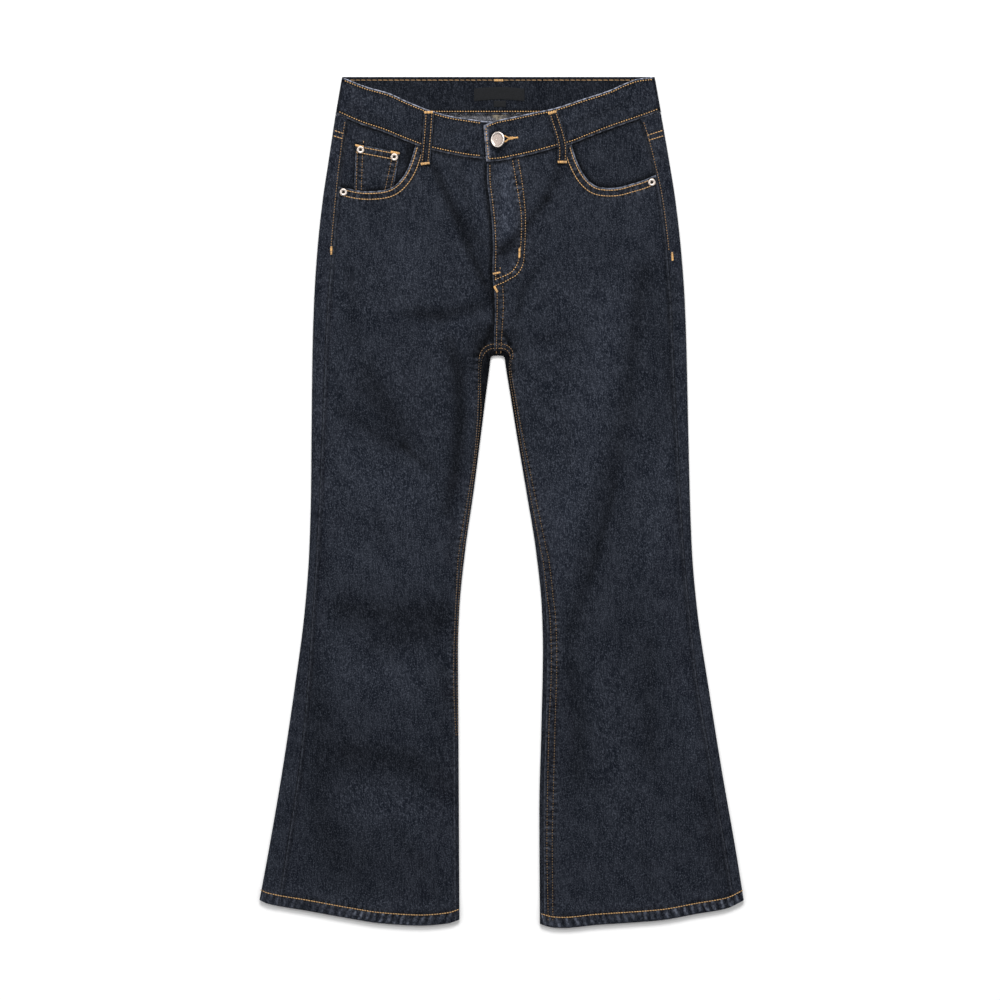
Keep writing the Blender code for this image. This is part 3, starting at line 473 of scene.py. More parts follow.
def line_of(x, down):
    """A line of points from their places across and down."""
    return np.stack([x, down], axis=1)


def directions(line):
    """Unit steps along a line."""
    along = np.gradient(line, axis=0)
    return along / np.linalg.norm(along, axis=1)[:, None]


def resample(points, step):
    """The same line with points about a step apart. Its ends stay."""
    points = np.array(points, float)
    run = run_along(points)
    places = np.linspace(0.0, run[-1], max(int(round(run[-1] / step)), 1) + 1)
    return np.stack([np.interp(places, run, column) for column in points.T], axis=1)


def curve(points, step):
    """A smooth line through the points."""
    points = [np.array(p, float) for p in points]
    ends = [2 * points[0] - points[1]] + points + [2 * points[-1] - points[-2]]
    fine = []
    for before, start, end, after in zip(ends, ends[1:], ends[2:], ends[3:]):
        for t in np.linspace(0.0, 1.0, 12, endpoint=False):
            bend = (2 * before - 5 * start + 4 * end - after) * t**2
            bend += (3 * start - before - 3 * end + after) * t**3
            fine.append(start + 0.5 * ((end - before) * t + bend))
    return resample(fine + [points[-1]], step)


def shifted(line, distance):
    """The line moved sideways, to the left of its own direction for a positive distance."""
    line = np.array(line, float)
    along = directions(line)
    return line + distance * line_of(-along[:, 1], along[:, 0])


def closed(outline):
    """The outline with its first point again at the end."""
    return np.concatenate([outline, outline[:1]])


def closed_outline(corners, step):
    """A closed outline that keeps its corners."""
    sides = zip(corners, corners[1:] + corners[:1])
    return np.concatenate([resample(side, step)[:-1] for side in sides])


def circle(x, down, radius):
    turns = np.linspace(0.0, 2 * math.pi, CIRCLE_STEPS)
    return line_of(x + radius * np.cos(turns), down + radius * np.sin(turns))


def inside(points, outline):
    """Which points lie inside a closed outline."""
    result = np.zeros(len(points), bool)
    for (x1, y1), (x2, y2) in zip(outline, np.roll(outline, -1, axis=0)):
        if y1 != y2:
            crosses = (points[:, 1] < y1) != (points[:, 1] < y2)
            result ^= crosses & (points[:, 0] < x1 + (points[:, 1] - y1) * (x2 - x1) / (y2 - y1))
    return result


def nearest(points, targets):
    """Distance to the nearest target point, and which one it is."""
    tree = kdtree.KDTree(len(targets))
    for i, (x, down) in enumerate(targets):
        tree.insert((x, down, 0.0), i)
    tree.balance()
    found = [tree.find((x, down, 0.0)) for x, down in points]
    return np.array([f[2] for f in found]), np.array([f[1] for f in found])


# %% [markdown]
# ## Seam lines
# The outer fold carries stations: a place on the silhouette, the direction inwards and the width
# to the seam. The wrapped back panel, the edge of the front panel and the rows of stitches beside
# the seam all come from the same stations, so they always lie side by side.

# %% Stations along the folds
LEG_STEP = 3.0


def middle_seam(side):
    """Where a back piece or an inseam begins, beside the line between the legs."""
    return CENTRE + 0.5 * GAP * side


def outer_stations(side, downs):
    table = OUTER[side]
    downs = np.array(downs, float)
    place = line_of(table.at("edge", downs), downs)
    inward = line_of(np.full(len(downs), -float(side)), table.at("slant", downs))
    return place, inward, table.at("seam", downs)


def inner_stations(side, downs):
    table = INNER[side]
    corner = float(table.at("edge", CROTCH)) - side * CROTCH_CORNER
    top = [(x, CROTCH) for x in np.linspace(middle_seam(side), corner, 4)]
    for angle in np.radians(np.arange(15, 90, 15)):
        across = corner + side * CROTCH_CORNER * math.sin(angle)
        top.append((across, CROTCH + CROTCH_CORNER * (1.0 - math.cos(angle))))
    downs = np.array(downs, float)
    place = np.concatenate([top, line_of(table.at("edge", downs), downs)])
    along = directions(place)
    inward = line_of(side * along[:, 1], -side * along[:, 0])
    inward[0] = (0.0, -1.0)
    return place, inward, table.at("seam", place[:, 1])


def beside(stations, distance):
    """The line at a distance past the seam, seen from the fold."""
    place, inward, seam = stations
    return place + inward * (seam + distance)[:, None]


def leg_downs(start, end):
    """Evenly spaced levels down a leg, the last one at its end."""
    return np.append(np.arange(start, end - 0.5 * LEG_STEP, LEG_STEP), end)


def whole_inseam(side):
    """The stations from the middle seam round the crotch down to the hem."""
    return inner_stations(side, leg_downs(CROTCH + CROTCH_CORNER, INNER[side].keys[-1]))


def band_fold_x(side):
    return float(OUTER[side].at("edge", BACK_BAND_LOW)) - side * BAND_FOLD_REACH


def below_band(side, x):
    fold_x = band_fold_x(side)
    x = np.minimum(x, fold_x) if side == LEFT else np.maximum(x, fold_x)
    return BAND[side].at("low", x) + GAP + 0.1


def waist_line(side, start, end):
    """The line just below the waistband between two places."""
    x = np.linspace(start, end, 34)
    return line_of(x, below_band(side, x))


def pocket_edge(side, step=2.0):
    points = list(SCOOP[side])
    end = points[-1][1]
    outseam = beside(outer_stations(side, np.linspace(end - 20.0, end + 20.0, 9)), GAP)
    return curve(points[:-1] + [(float(np.interp(end, outseam[:, 1], outseam[:, 0])), end)], step)


for side, name in SIDES.items():
    print(name, "pocket edge:", round(float(run_along(pocket_edge(side))[-1]), 1), "mm")


# %% [markdown]
# ## Making cloth
# A panel is triangulated over its outline with evenly spread points, plus extra points along its
# edges and stitch rows, so that the edge can roll over and the rows can sink in. The outer and
# the inner face share one layout, and a rim joins them all round: a closed wall of cloth.

# %% Cloth builder
EDGE_ROLL = 0.9
ROW_DEPTH, ROW_WIDTH = 0.22, 0.9
WELD_SHIFT = 0.0037


def plan(outline, spacing, extra):
    """Triangles over an outline, with the extra points in it."""
    low, high = outline.min(axis=0), outline.max(axis=0)
    spread = []
    for i, down in enumerate(np.arange(low[1], high[1], spacing * math.sqrt(0.75))):
        row = np.arange(low[0] + 0.5 * spacing * (i % 2), high[0], spacing)
        spread.append(line_of(row, np.full(len(row), down)))
    spread = np.concatenate(spread)
    spread = spread[inside(spread, outline)]
    rings = [shifted(np.concatenate([outline[-1:], outline, outline[:1]]), d * sign)[1:-1]
             for d in (0.35, EDGE_ROLL) for sign in (-1, 1)]
    extra = np.concatenate(rings + list(extra))
    extra = extra[inside(extra, outline)]
    away, _ = nearest(extra, outline)
    extra = extra[away > 0.25]
    away, _ = nearest(spread, np.concatenate([extra, resample(closed(outline), 1.0)]))
    spread = spread[away > 0.55 * spacing]
    places = np.concatenate([outline, extra, spread])
    ring = [list(range(len(outline)))]
    found = delaunay_2d_cdt([Vector(p) for p in places.tolist()], [], ring, 1, 1e-5)
    return np.array([tuple(p) for p in found[0]]), np.array([tuple(f) for f in found[2]])


def quarter_round(share):
    """The rise of a quarter circle, from 0 at its start to 1 at its end."""
    return np.sqrt(1.0 - (1.0 - np.clip(share, 0.0, 1.0)) ** 2)


def roll_off(places, outline):
    """How far the outer face sinks where the folded edge of the cloth rolls over."""
    away, _ = nearest(places, resample(closed(outline), 0.5))
    return 0.5 * (1.0 - quarter_round(away / EDGE_ROLL)), away


def pucker(rows, places, height, period):
    """The sunk channel of each stitch row, the waves that it pulls up, and the painted shade beside
    it.
    """
    if not rows:
        return np.zeros((3, len(places)))
    parts = [resample(row, 1.0) for row in rows]
    line = np.concatenate(parts)
    run = np.concatenate([np.arange(len(part)) + 31.0 * i for i, part in enumerate(parts)])
    away, index = nearest(places, line)
    s = run[index]
    wave = np.sin(2 * math.pi * s / period + 2.1 * np.sin(s / 17.0) + 1.3 * np.sin(s / 41.0 + 1.0))
    wave *= 0.65 + 0.35 * np.sin(s / 29.0 + 2.0)
    near = np.exp(-((away / 5.0) ** 2))
    sunk = -ROW_DEPTH * np.exp(-((away / ROW_WIDTH) ** 2))
    return sunk + height * wave * near, np.clip(wave, 0.0, 1.0) * near, np.exp(-((away / 2.1) ** 2))


def ditch_shade(places, lines):
    """How much painted shade darkens the cloth where shadow falls in the ditches along lines of
    (points, strength, width).
    """
    dark = np.zeros(len(places))
    for points, strength, width in lines:
        away, _ = nearest(places, resample(points, 1.0))
        dark = np.maximum(dark, strength * np.exp(-((away / width) ** 2)))
    return dark


def panel(outline, spacing, outer, inner, rows=(), height=0.16, period=6.5, dark=(), edge_rub=0.55,
          more_rub=None):
    """One flat-lying sheet: both faces, triangles, how rubbed each point is and its painted shade.
    """
    lines = [shifted(resample(row, 2.2), d) for row in rows for d in (-1.5, 0.0, 1.5)]
    lines += [shifted(resample(points, 2.5), d) for points, _, _ in dark for d in (-1.2, 1.2)]
    places, faces = plan(np.array(outline), spacing, lines)
    x, down = places.T
    roll, away = roll_off(places, np.array(outline))
    wave, rub, deep = pucker(rows, places, height, period)
    top = outer(x, down) - roll + wave * ease(away, 0.3, 2.5)
    rub = np.maximum(0.35 * rub, edge_rub * (1.0 - ease(away, 0.2, 1.5)))
    if more_rub is not None:
        rub = np.maximum(rub, more_rub(x, down))
    # Painted shade along the dark lines, where shadow falls in ditches and under edges.
    sunk = ditch_shade(places, dark)
    rub = rub * (1.0 - 0.85 * sunk)
    deep = np.maximum(0.85 * deep * ease(away, -0.5, 1.2), sunk)
    return (
        np.stack([x, down, top], axis=1),
        np.stack([x, down, inner(x, down)], axis=1),
        faces,
        rub,
        deep,
    )


# %% [markdown]
# ## From sheets to closed walls
# Some sheets aren't cut from an outline: a strip that goes round a fold, or a tape, is a grid of
# points. Both kinds end in the same mesh. Sheets that meet are welded where their points agree,
# the inner face is joined on by a rim, and named attributes tell the shader how rubbed the cloth
# is at each point, how much painted shade it has, and its painted shading and wash.

# %% Closed walls of cloth
def lofted(outer, inner, rub, deep=None):
    """One sheet through a grid of points, rows first."""
    count, width = outer.shape[:2]
    i, j = np.meshgrid(np.arange(count - 1), np.arange(width - 1), indexing="ij")
    a = (i * width + j).ravel()
    faces = np.concatenate([
        np.stack([a, a + 1, a + width + 1], axis=1),
        np.stack([a, a + width + 1, a + width], axis=1),
    ])
    deep = np.zeros(rub.shape) if deep is None else deep
    return outer.reshape(-1, 3), inner.reshape(-1, 3), faces, rub.ravel(), deep.ravel()


def ring_faces(count, width):
    """Faces between rings of points that lie one after another."""
    return [[i * width + j, i * width + (j + 1) % width,
             (i + 1) * width + (j + 1) % width, (i + 1) * width + j]
            for i in range(count - 1) for j in range(width)]


def world(points):
    """Points in metres from x, down and height in millimetres."""
    points = np.asarray(points, float)
    return np.stack([points[..., 0], 0.5 * LENGTH - points[..., 1], points[..., 2]], axis=-1) * MM


def add_object(name, data):
    """A mesh, light or camera put into the scene."""
    made = bpy.data.objects.new(name, data)
    bpy.context.scene.collection.objects.link(made)
    return made


def new_object(name, points, faces, materials, slots=None, sharp=55.0, weld=False, **values):
    """An object with faces turned outwards and a value of each named attribute at each point."""
    mesh = bpy.data.meshes.new(name)
    mesh.from_pydata(points.tolist(), [], [list(f) for f in faces])
    for one in materials:
        mesh.materials.append(one)
    if slots is not None:
        mesh.polygons.foreach_set("material_index", np.asarray(slots, np.int32))
    for key, numbers in values.items():
        layer = mesh.attributes.new(key, "FLOAT", "POINT")
        layer.data.foreach_set("value", np.asarray(numbers, np.float32))
    work = bmesh.new()
    work.from_mesh(mesh)
    if weld:
        bmesh.ops.remove_doubles(work, verts=work.verts, dist=1e-7)
    bmesh.ops.recalc_face_normals(work, faces=work.faces)
    work.to_mesh(mesh)
    work.free()
    mesh.shade_smooth()
    mesh.set_sharp_from_angle(angle=math.radians(sharp))
    return add_object(name, mesh)


def new_mesh(name, points, faces, materials, slots=None, **values):
    """A cloth piece that rides on the garment."""
    piece = new_object(name, points, faces, materials, slots, **values)
    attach(piece, "root")
    return piece


def cloth(name, sheets, materials, wash=front_wash, inner_rub=None):
    """A closed wall of cloth from sheets that share points."""
    outer, inner, _, rub, deep = (np.concatenate(part) for part in zip(*sheets))
    starts = np.cumsum([0] + [len(s[0]) for s in sheets[:-1]])
    faces = np.concatenate([s[2] + start for s, start in zip(sheets, starts)])
    keys = np.round(outer + WELD_SHIFT, 2)
    _, first, index = np.unique(keys, axis=0, return_index=True, return_inverse=True)
    faces = index.reshape(-1)[faces]
    a, b, c = faces.T
    faces = faces[(a != b) & (b != c) & (a != c)]
    outer, inner, rub, deep = outer[first], inner[first], rub[first], deep[first]
    count = len(outer)
    ends = np.concatenate([faces[:, [0, 1]], faces[:, [1, 2]], faces[:, [2, 0]]])
    _, back, times = np.unique(np.sort(ends, axis=1), axis=0, return_inverse=True,
                               return_counts=True)
    edge = ends[times[back.reshape(-1)] == 1]
    rim = np.stack([edge[:, 1], edge[:, 0], edge[:, 0] + count, edge[:, 1] + count], axis=1)
    all_faces = faces.tolist() + (faces[:, ::-1] + count).tolist() + rim.tolist()
    slots = [0] * len(faces) + [1] * len(faces) + [2] * len(rim)
    under = 0.3 * rub if inner_rub is None else inner_rub(inner[:, 0], inner[:, 1])
    tone = wash(outer[:, 0], outer[:, 1])
    piece = new_mesh(
        name, world(np.concatenate([outer, inner])), all_faces, materials, slots,
        rub=np.concatenate([rub, under]), deep=np.concatenate([deep, deep]),
        wash=np.concatenate([tone, tone]),
    )
    print(name, 2 * len(faces) + 2 * len(rim), "triangles")
    return piece


# %% [markdown]
# ## Words for shaders
# A shader is a graph of small nodes. Each of these functions adds one node, sets it and returns
# its output, so that a material below reads like a recipe.

# %% Shader helpers
def sockets(group, inputs, outputs):
    """Names the inputs and outputs of a node group."""
    for name, kind, value in inputs:
        made = group.interface.new_socket(name, in_out="INPUT", socket_type=kind)
        made.default_value = value
    for name, kind in outputs:
        group.interface.new_socket(name, in_out="OUTPUT", socket_type=kind)


def link(tree, source, target):
    """Feeds a socket: a number or a colour is set on it, and an output is linked to it."""
    if isinstance(source, (float, tuple)):
        target.default_value = source
    else:
        tree.links.new(source, target)


def settings(node, values):
    """Sets plain numbers and colours on a node's own sockets."""
    for name, value in values.items():
        node.inputs[name].default_value = value


def math_node(tree, operation, a, b, clamp=False):
    node = tree.nodes.new("ShaderNodeMath")
    node.operation = operation
    node.use_clamp = clamp
    link(tree, a, node.inputs[0])
    link(tree, b, node.inputs[1])
    return node.outputs[0]


def noise_node(tree, vector, scale, detail=2.0, roughness=0.5):
    node = tree.nodes.new("ShaderNodeTexNoise")
    settings(node, {"Scale": scale, "Detail": detail, "Roughness": roughness})
    link(tree, vector, node.inputs["Vector"])
    return node.outputs["Fac"]


def stretched(tree, vector, lengths, turn=0.0):
    """Places for a texture whose grains are longer along each axis, in a frame turned about z."""
    node = tree.nodes.new("ShaderNodeMapping")
    node.vector_type = "TEXTURE"
    settings(node, {"Scale": lengths, "Rotation": (0.0, 0.0, turn)})
    link(tree, vector, node.inputs["Vector"])
    return node.outputs["Vector"]


def scaled(tree, colour, value):
    node = tree.nodes.new("ShaderNodeVectorMath")
    node.operation = "SCALE"
    link(tree, colour, node.inputs[0])
    link(tree, value, node.inputs["Scale"])
    return node.outputs["Vector"]


def mix_colour(tree, factor, a, b):
    node = tree.nodes.new("ShaderNodeMix")
    node.data_type = "RGBA"
    for socket, value in (("Factor", factor), (6, a), (7, b)):
        link(tree, value, node.inputs[socket])
    return node.outputs[2]


def map_range(tree, value, low, high, to_low=0.0, to_high=1.0):
    node = tree.nodes.new("ShaderNodeMapRange")
    settings(node, {"From Min": low, "From Max": high, "To Min": to_low, "To Max": to_high})
    link(tree, value, node.inputs["Value"])
    return node.outputs["Result"]


# %% [markdown]
# ## Denim
# Denim is a twill: dark indigo warp threads run along the leg, pale weft threads cross under
# them, and the weft peeps through along steep diagonals. Seen from a step away this is a dark
# cloth with a salt-and-pepper grain. The weave is one node group, placed in each denim with its
# own colours. It reads object coordinates, so it needs no unwrapping and keeps its real size.

# %% Denim weave group
TWILL_TURN = math.radians(22.0)


def make_weave_group():
    group = bpy.data.node_groups.new("denim_weave", "ShaderNodeTree")
    sockets(
        group,
        [("Warp", "NodeSocketColor", (0.01, 0.012, 0.018, 1.0)),
         ("Weft", "NodeSocketColor", (0.06, 0.066, 0.083, 1.0)),
         ("Rubbed", "NodeSocketColor", (0.30, 0.32, 0.38, 1.0)),
         ("Rub", "NodeSocketFloat", 0.0),
         ("Painted Shade", "NodeSocketFloat", 0.0),
         ("Shading And Wash", "NodeSocketFloat", 0.0)],
        [("Color", "NodeSocketColor"), ("Height", "NodeSocketFloat")],
    )
    start = group.nodes.new("NodeGroupInput")
    end = group.nodes.new("NodeGroupOutput")
    place = group.nodes.new("ShaderNodeTexCoord").outputs["Object"]
    twill = group.nodes.new("ShaderNodeTexWave")
    settings(twill, {"Scale": 330.0, "Distortion": 1.6, "Detail": 2.0, "Detail Scale": 1.6})
    link(group, stretched(group, place, (1.0, 1.0, 1.0), TWILL_TURN), twill.inputs["Vector"])
    speck = noise_node(group, stretched(group, place, (1.0, 1.7, 1.0), TWILL_TURN), 860.0, 1.0, 0.5)
    fine = noise_node(group, stretched(group, place, (1.0, 1.2, 1.0), TWILL_TURN), 1500.0, 1.0, 0.5)
    yarn = stretched(group, place, (1.0, 7.0, 1.0), math.radians(3.0))
    slub = noise_node(group, yarn, 760.0, 2.0, 0.6)
    clump = noise_node(group, place, 300.0, 1.0, 0.5)
    cloud = noise_node(group, stretched(group, place, (1.0, 1.5, 1.0), TWILL_TURN), 55.0, 4.0, 0.65)
    show = math_node(group, "MULTIPLY", map_range(group, speck, 0.53, 0.74), 1.15)
    show = math_node(group, "ADD", show, map_range(group, fine, 0.42, 0.72, 0.0, 0.28))
    show = math_node(group, "ADD", show, math_node(group, "MULTIPLY", twill.outputs["Fac"], 0.07))
    show = math_node(group, "ADD", show, map_range(group, slub, 0.44, 0.66, -0.04, 0.30))
    show = math_node(group, "ADD", show, map_range(group, cloud, 0.3, 0.7, -0.14, 0.14), clamp=True)
    colour = mix_colour(group, show, start.outputs["Warp"], start.outputs["Weft"])
    # Painted light and shade: the wash scales the colour up or down for the shading of creases and
    # of wide shaded or lit places, partly also for the wear of the rinse.
    shading_and_wash_gain = math_node(group, "ADD", start.outputs["Shading And Wash"], 1.0)
    # Painted shade: the shade channel darkens the colour almost to black where shadow falls, in
    # ditches, under edges, beside rows and between the legs.
    painted_shade_amount = math_node(group, "MULTIPLY", start.outputs["Painted Shade"], 0.85)
    painted_shade_gain = math_node(group, "SUBTRACT", 1.0, painted_shade_amount)
    colour = scaled(group, colour, math_node(group, "MULTIPLY", shading_and_wash_gain, painted_shade_gain))
    patchy = map_range(group, clump, 0.40, 0.60, 0.2, 1.0)
    # Paler rubbed places: wear, and at the pocket's edge partly painted highlight.
    wear_and_highlight = math_node(group, "MULTIPLY", start.outputs["Rub"], patchy, clamp=True)
    colour = mix_colour(group, wear_and_highlight, colour, start.outputs["Rubbed"])
    link(group, colour, end.inputs["Color"])
    height = math_node(group, "MULTIPLY", twill.outputs["Fac"], 0.5)
    height = math_node(group, "ADD", height, math_node(group, "MULTIPLY", speck, 0.9))
    height = math_node(group, "ADD", height, math_node(group, "MULTIPLY", fine, 0.5))
    link(group, height, end.inputs["Height"])
    return group


weave_group = make_weave_group()
print("weave group with", len(weave_group.nodes), "nodes")

# %% [markdown]
# The weave serves four finishes: the rinsed face, the waistband with its paler worn edges, the
# grey wrong side and the dark cut edge. Each is a material of its own, because the colours of
# warp and weft change from one to the other. Denim is matte, so the gloss stays close to nothing.

# %% Denim materials
def new_material(name, roughness, metallic=0.0):
    made = bpy.data.materials.new(name)
    made.use_nodes = True
    shader = made.node_tree.nodes["Principled BSDF"]
    settings(shader, {"Roughness": roughness, "Metallic": metallic})
    return made, made.node_tree, shader


def bump(tree, shader, height, strength, distance):
    node = tree.nodes.new("ShaderNodeBump")
    settings(node, {"Strength": strength, "Distance": distance})
    link(tree, height, node.inputs["Height"])
    link(tree, node.outputs["Normal"], shader.inputs["Normal"])


def attribute(tree, name):
    node = tree.nodes.new("ShaderNodeAttribute")
    node.attribute_name = name
    return node.outputs["Fac"]


def make_denim(name, warp, weft, rubbed):
    made, tree, shader = new_material(name, 0.9)
    weave = tree.nodes.new("ShaderNodeGroup")
    weave.node_tree = weave_group
    settings(weave, {"Warp": warp, "Weft": weft, "Rubbed": rubbed})
    for socket, key in (("Rub", "rub"), ("Painted Shade", "deep"), ("Shading And Wash", "wash")):
        link(tree, attribute(tree, key), weave.inputs[socket])
    link(tree, weave.outputs["Color"], shader.inputs["Base Color"])
    bump(tree, shader, weave.outputs["Height"], 0.4, 0.0004)
    settings(shader, {"Sheen Weight": 0.008, "Sheen Roughness": 0.5, "Specular IOR Level": 0.04})
    return made


WARP = (0.0044, 0.0060, 0.0102, 1.0)
WEFT = (0.042, 0.0475, 0.062, 1.0)
RUBBED = (0.19, 0.21, 0.265, 1.0)
BAND_RUBBED = (0.34, 0.36, 0.44, 1.0)
denim = make_denim("denim_face", WARP, WEFT, RUBBED)
band_denim = make_denim("denim_band", WARP, WEFT, BAND_RUBBED)
denim_back = make_denim("denim_wrong_side", (0.042, 0.045, 0.055, 1.0), (0.21, 0.21, 0.225, 1.0),
                        (0.21, 0.18, 0.13, 1.0))
denim_edge = make_denim("denim_edge", (0.012, 0.014, 0.02, 1.0), (0.09, 0.10, 0.13, 1.0), RUBBED)
DENIM = (denim, denim_back, denim_edge)
print("denim colours:", [one.name for one in DENIM + (band_denim,)])

# %% [markdown]
# ## Back panels and yokes
# The back panels are wider than the fronts. Their sides come round the fold and lie on the
# front, so the outseam shows there. Each is a flat sheet on the surface, sewn to a strip that
# bends round the fold through half a turn.

# %% Wrapped sheets
FOLD_STEPS = 9
STRIP_STEP = 2.4


def wrapped(side, stations, edge_lines):
    """A strip from the flat back round the fold to the seam. An edge line sets a row's down."""
    place, inward, seam = stations
    columns = max(int(round((seam.max() - FOLD_REACH) / STRIP_STEP)), 2)
    flat = place + inward * FOLD_REACH
    top = front_top(side, flat[:, 0], flat[:, 1])
    low = back_low(flat[:, 1])
    wall = thickness(side, place[:, 0], place[:, 1])
    middle, half = 0.5 * (low + top), 0.5 * (top - low)

    def at(reach):
        there = place + inward * reach[:, None]
        for row, line in edge_lines.items():
            there[row, 1] = line(side, there[row, 0])
        return there

    outer, inner = [], []
    for turn in np.radians(np.linspace(-90.0, 90.0, FOLD_STEPS))[:-1]:
        out_reach = np.full(len(place), FOLD_REACH * (1.0 - math.cos(turn)))
        in_reach = wall + (FOLD_REACH - wall) * (1.0 - math.cos(turn))
        outer.append(np.column_stack([at(out_reach), middle + half * math.sin(turn)]))
        inner.append(np.column_stack([at(in_reach), middle + (half - wall) * math.sin(turn)]))
    reaches = [FOLD_REACH + (seam - FOLD_REACH) * t for t in np.linspace(0.0, 1.0, columns + 1)]
    for reach in [*reaches[:-1], seam - EDGE_ROLL, seam]:
        there = at(reach)
        height = front_top(side, *there.T)
        inner.append(np.column_stack([there, height - wall]))
        outer.append(np.column_stack([there, height - (0.45 if reach is seam else 0.0)]))
    outer, inner = np.array(outer).transpose(1, 0, 2), np.array(inner).transpose(1, 0, 2)
    s = np.arange(len(place))
    wave = 0.22 * np.sin(s * 1.1 + 1.5 * np.sin(s / 6.0)) * (0.6 + 0.4 * np.sin(s / 11.0 + side))
    share = np.linspace(0.0, 1.0, outer.shape[1]) ** 2
    ropes = np.clip(wave[:, None] * 4.0, 0.0, 1.0)
    rub = 0.08 * ropes * share
    rub[:, -2:] = 0.03 + 0.13 * ropes
    outer[:, FOLD_STEPS:-1, 2] += (wave[:, None] * share)[:, FOLD_STEPS:-1] * 0.6
    dark = np.zeros(len(place))
    # Painted shadow: a strip round the inner fold lies in shadow between the legs, so it is painted
    # dark, less so down the leg.
    if place[0, 1] >= CROTCH:
        dark = 0.30 + 0.66 * (1.0 - ease(place[:, 1], 372.0, 520.0))
    deep = np.repeat(dark[:, None], outer.shape[1], axis=1)
    # Painted shade in the ditch at the seam edge.
    deep[:, -2:] = np.maximum(deep[:, -2:], 0.55)
    # Painted shade in the gaps between the hem's ridges.
    _, tops, gaps = hem_rope(side, outer[:, :, 0], outer[:, :, 1])
    front = np.arange(outer.shape[1]) >= FOLD_STEPS // 2
    rub = np.maximum(rub * (1.0 - 0.8 * deep), 0.7 * tops * front)
    return outer, inner, rub, np.maximum(deep, 0.6 * gaps * front)


def row_lines(rows):
    """Lines of points in and beside each row of the back."""
    return [shifted(resample(row, 2.5), d) for row in rows for d in (-1.3, 0.0, 1.3)]


def flat_back(side, outline, spacing, rows=(), dark=()):
    """The part of a back piece that lies on the surface: its outer face is below."""
    outline = np.array(outline)
    places, faces = plan(outline, spacing, row_lines(rows))
    x, down = places.T
    wave, rub, deep = pucker(rows, places, 0.10, 7.0)
    low = back_low(down) + np.clip(-wave, 0.0, 0.3)
    return (
        np.stack([x, down, low], axis=1),
        np.stack([x, down, low + thickness(side, x, down)], axis=1),
        faces,
        rub * 0.35,
        # Painted shade beside the rows and along the dark lines.
        np.maximum(0.7 * deep, ditch_shade(places, dark)),
    )


# %% [markdown]
# The yoke is the shaped piece between the waistband and the seat. It wraps round the side fold
# like the back panel below it, so both are made of the same two kinds of sheet.

# %% Yokes and back panels
SEAT_ROWS = (2.4, 8.2)
YOKE_ROWS = (2.6, 8.9)


def yoke_seam(side, x):
    edge = float(OUTER[side].at("edge", YOKE_SIDE))
    return YOKE_CENTRE + (YOKE_SIDE - YOKE_CENTRE) * (x - CENTRE) / (edge - CENTRE)


def size_patch(x, down):
    """A beige patch of lining tape on the inside of the yokes, under the size tab."""
    return ease(x, -9.5, -8.5) * (1.0 - ease(x, 4.2, 5.2)) * (1.0 - ease(down, 57.0, 59.0))


def make_yoke(side):
    start = OUTER[side].keys[0] + GAP + 0.05
    stations = outer_stations(side, np.linspace(start, YOKE_SIDE - 0.5 * GAP, 9))
    strip = wrapped(side, stations, {0: below_band})
    flat = strip[0][:, 0, :2]
    middle = middle_seam(side)
    low_line = resample([flat[-1], (middle, yoke_seam(side, middle) - 0.5 * GAP)], 4.0)
    top_line = resample([(middle, BACK_BAND_LOW + GAP + 0.1), flat[0]], 4.0)
    outline = np.concatenate([flat[:-1], low_line, top_line[:-1]])
    low_x = np.linspace(CENTRE, band_fold_x(side), 40)
    band_top = line_of(BAND[side].at("top_x", low_x), BAND[side].at("top", low_x))
    band_low = low_line * (1.0, 0.0) + (0.0, BACK_BAND_LOW + 0.6)
    # Painted shade where the back band's lower edge and the front band's top edge lie over the
    # yoke.
    under_band = [(band_low, 0.9, 1.8), (band_top, 0.9, 1.6)]
    sheets = [flat_back(side, outline, 3.2, dark=under_band), lofted(*strip)]
    piece = cloth(f"yoke_{SIDES[side]}_shell", sheets, DENIM, back_wash, size_patch)
    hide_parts(f"yoke_{SIDES[side]}")
    return piece


def seat_wash(x, down):
    """The painted shading and wash of a back panel: its rolled edges share the front's creases."""
    return 0.6 * back_wash(x, down) + 0.4 * front_wash(x, down)


def make_back(side):
    outer_line = outer_stations(side, leg_downs(YOKE_SIDE + 0.5 * GAP, OUTER[side].keys[-1]))
    strips = [wrapped(side, line, {-1: hem}) for line in (outer_line, whole_inseam(side))]
    outer_flat, inner_flat = (strip[0][:, 0, :2] for strip in strips)
    hem_x = np.linspace(outer_flat[-1][0], inner_flat[-1][0], 70)[1:-1]
    middle = middle_seam(side)
    rise = resample([inner_flat[0], (middle, yoke_seam(side, middle) + 0.5 * GAP)], 4.0)
    seam = resample([rise[-1], outer_flat[0]], 4.0)
    hem_line = line_of(hem_x, hem(side, hem_x))
    outline = np.concatenate([outer_flat, hem_line, inner_flat[::-1], rise[1:], seam[1:-1]])
    rows = [hem_line - (0.0, HEM_ROW)]
    rows += [rise + (side * d, 0.0) for d in SEAT_ROWS] if side == LEFT else []
    rows += [seam + (0.0, d) for d in (2.6, 8.8)]
    sheets = [flat_back(side, outline, 5.5, rows)] + [lofted(*strip) for strip in strips]
    piece = cloth(f"back_{SIDES[side]}_shell", sheets, DENIM, seat_wash)
    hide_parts(f"back_{SIDES[side]}")
    return piece


yokes = {side: make_yoke(side) for side in SIDES}
backs = {side: make_back(side) for side in SIDES}

# %% [markdown]
# ## Front panels
# The fronts run from the waistband to the hem. The left one laps over the right one at the fly
# and down the rise, and both are cut away in a scoop at the pockets. The rows of stitches are
# laid out first, because the cloth sinks under them.

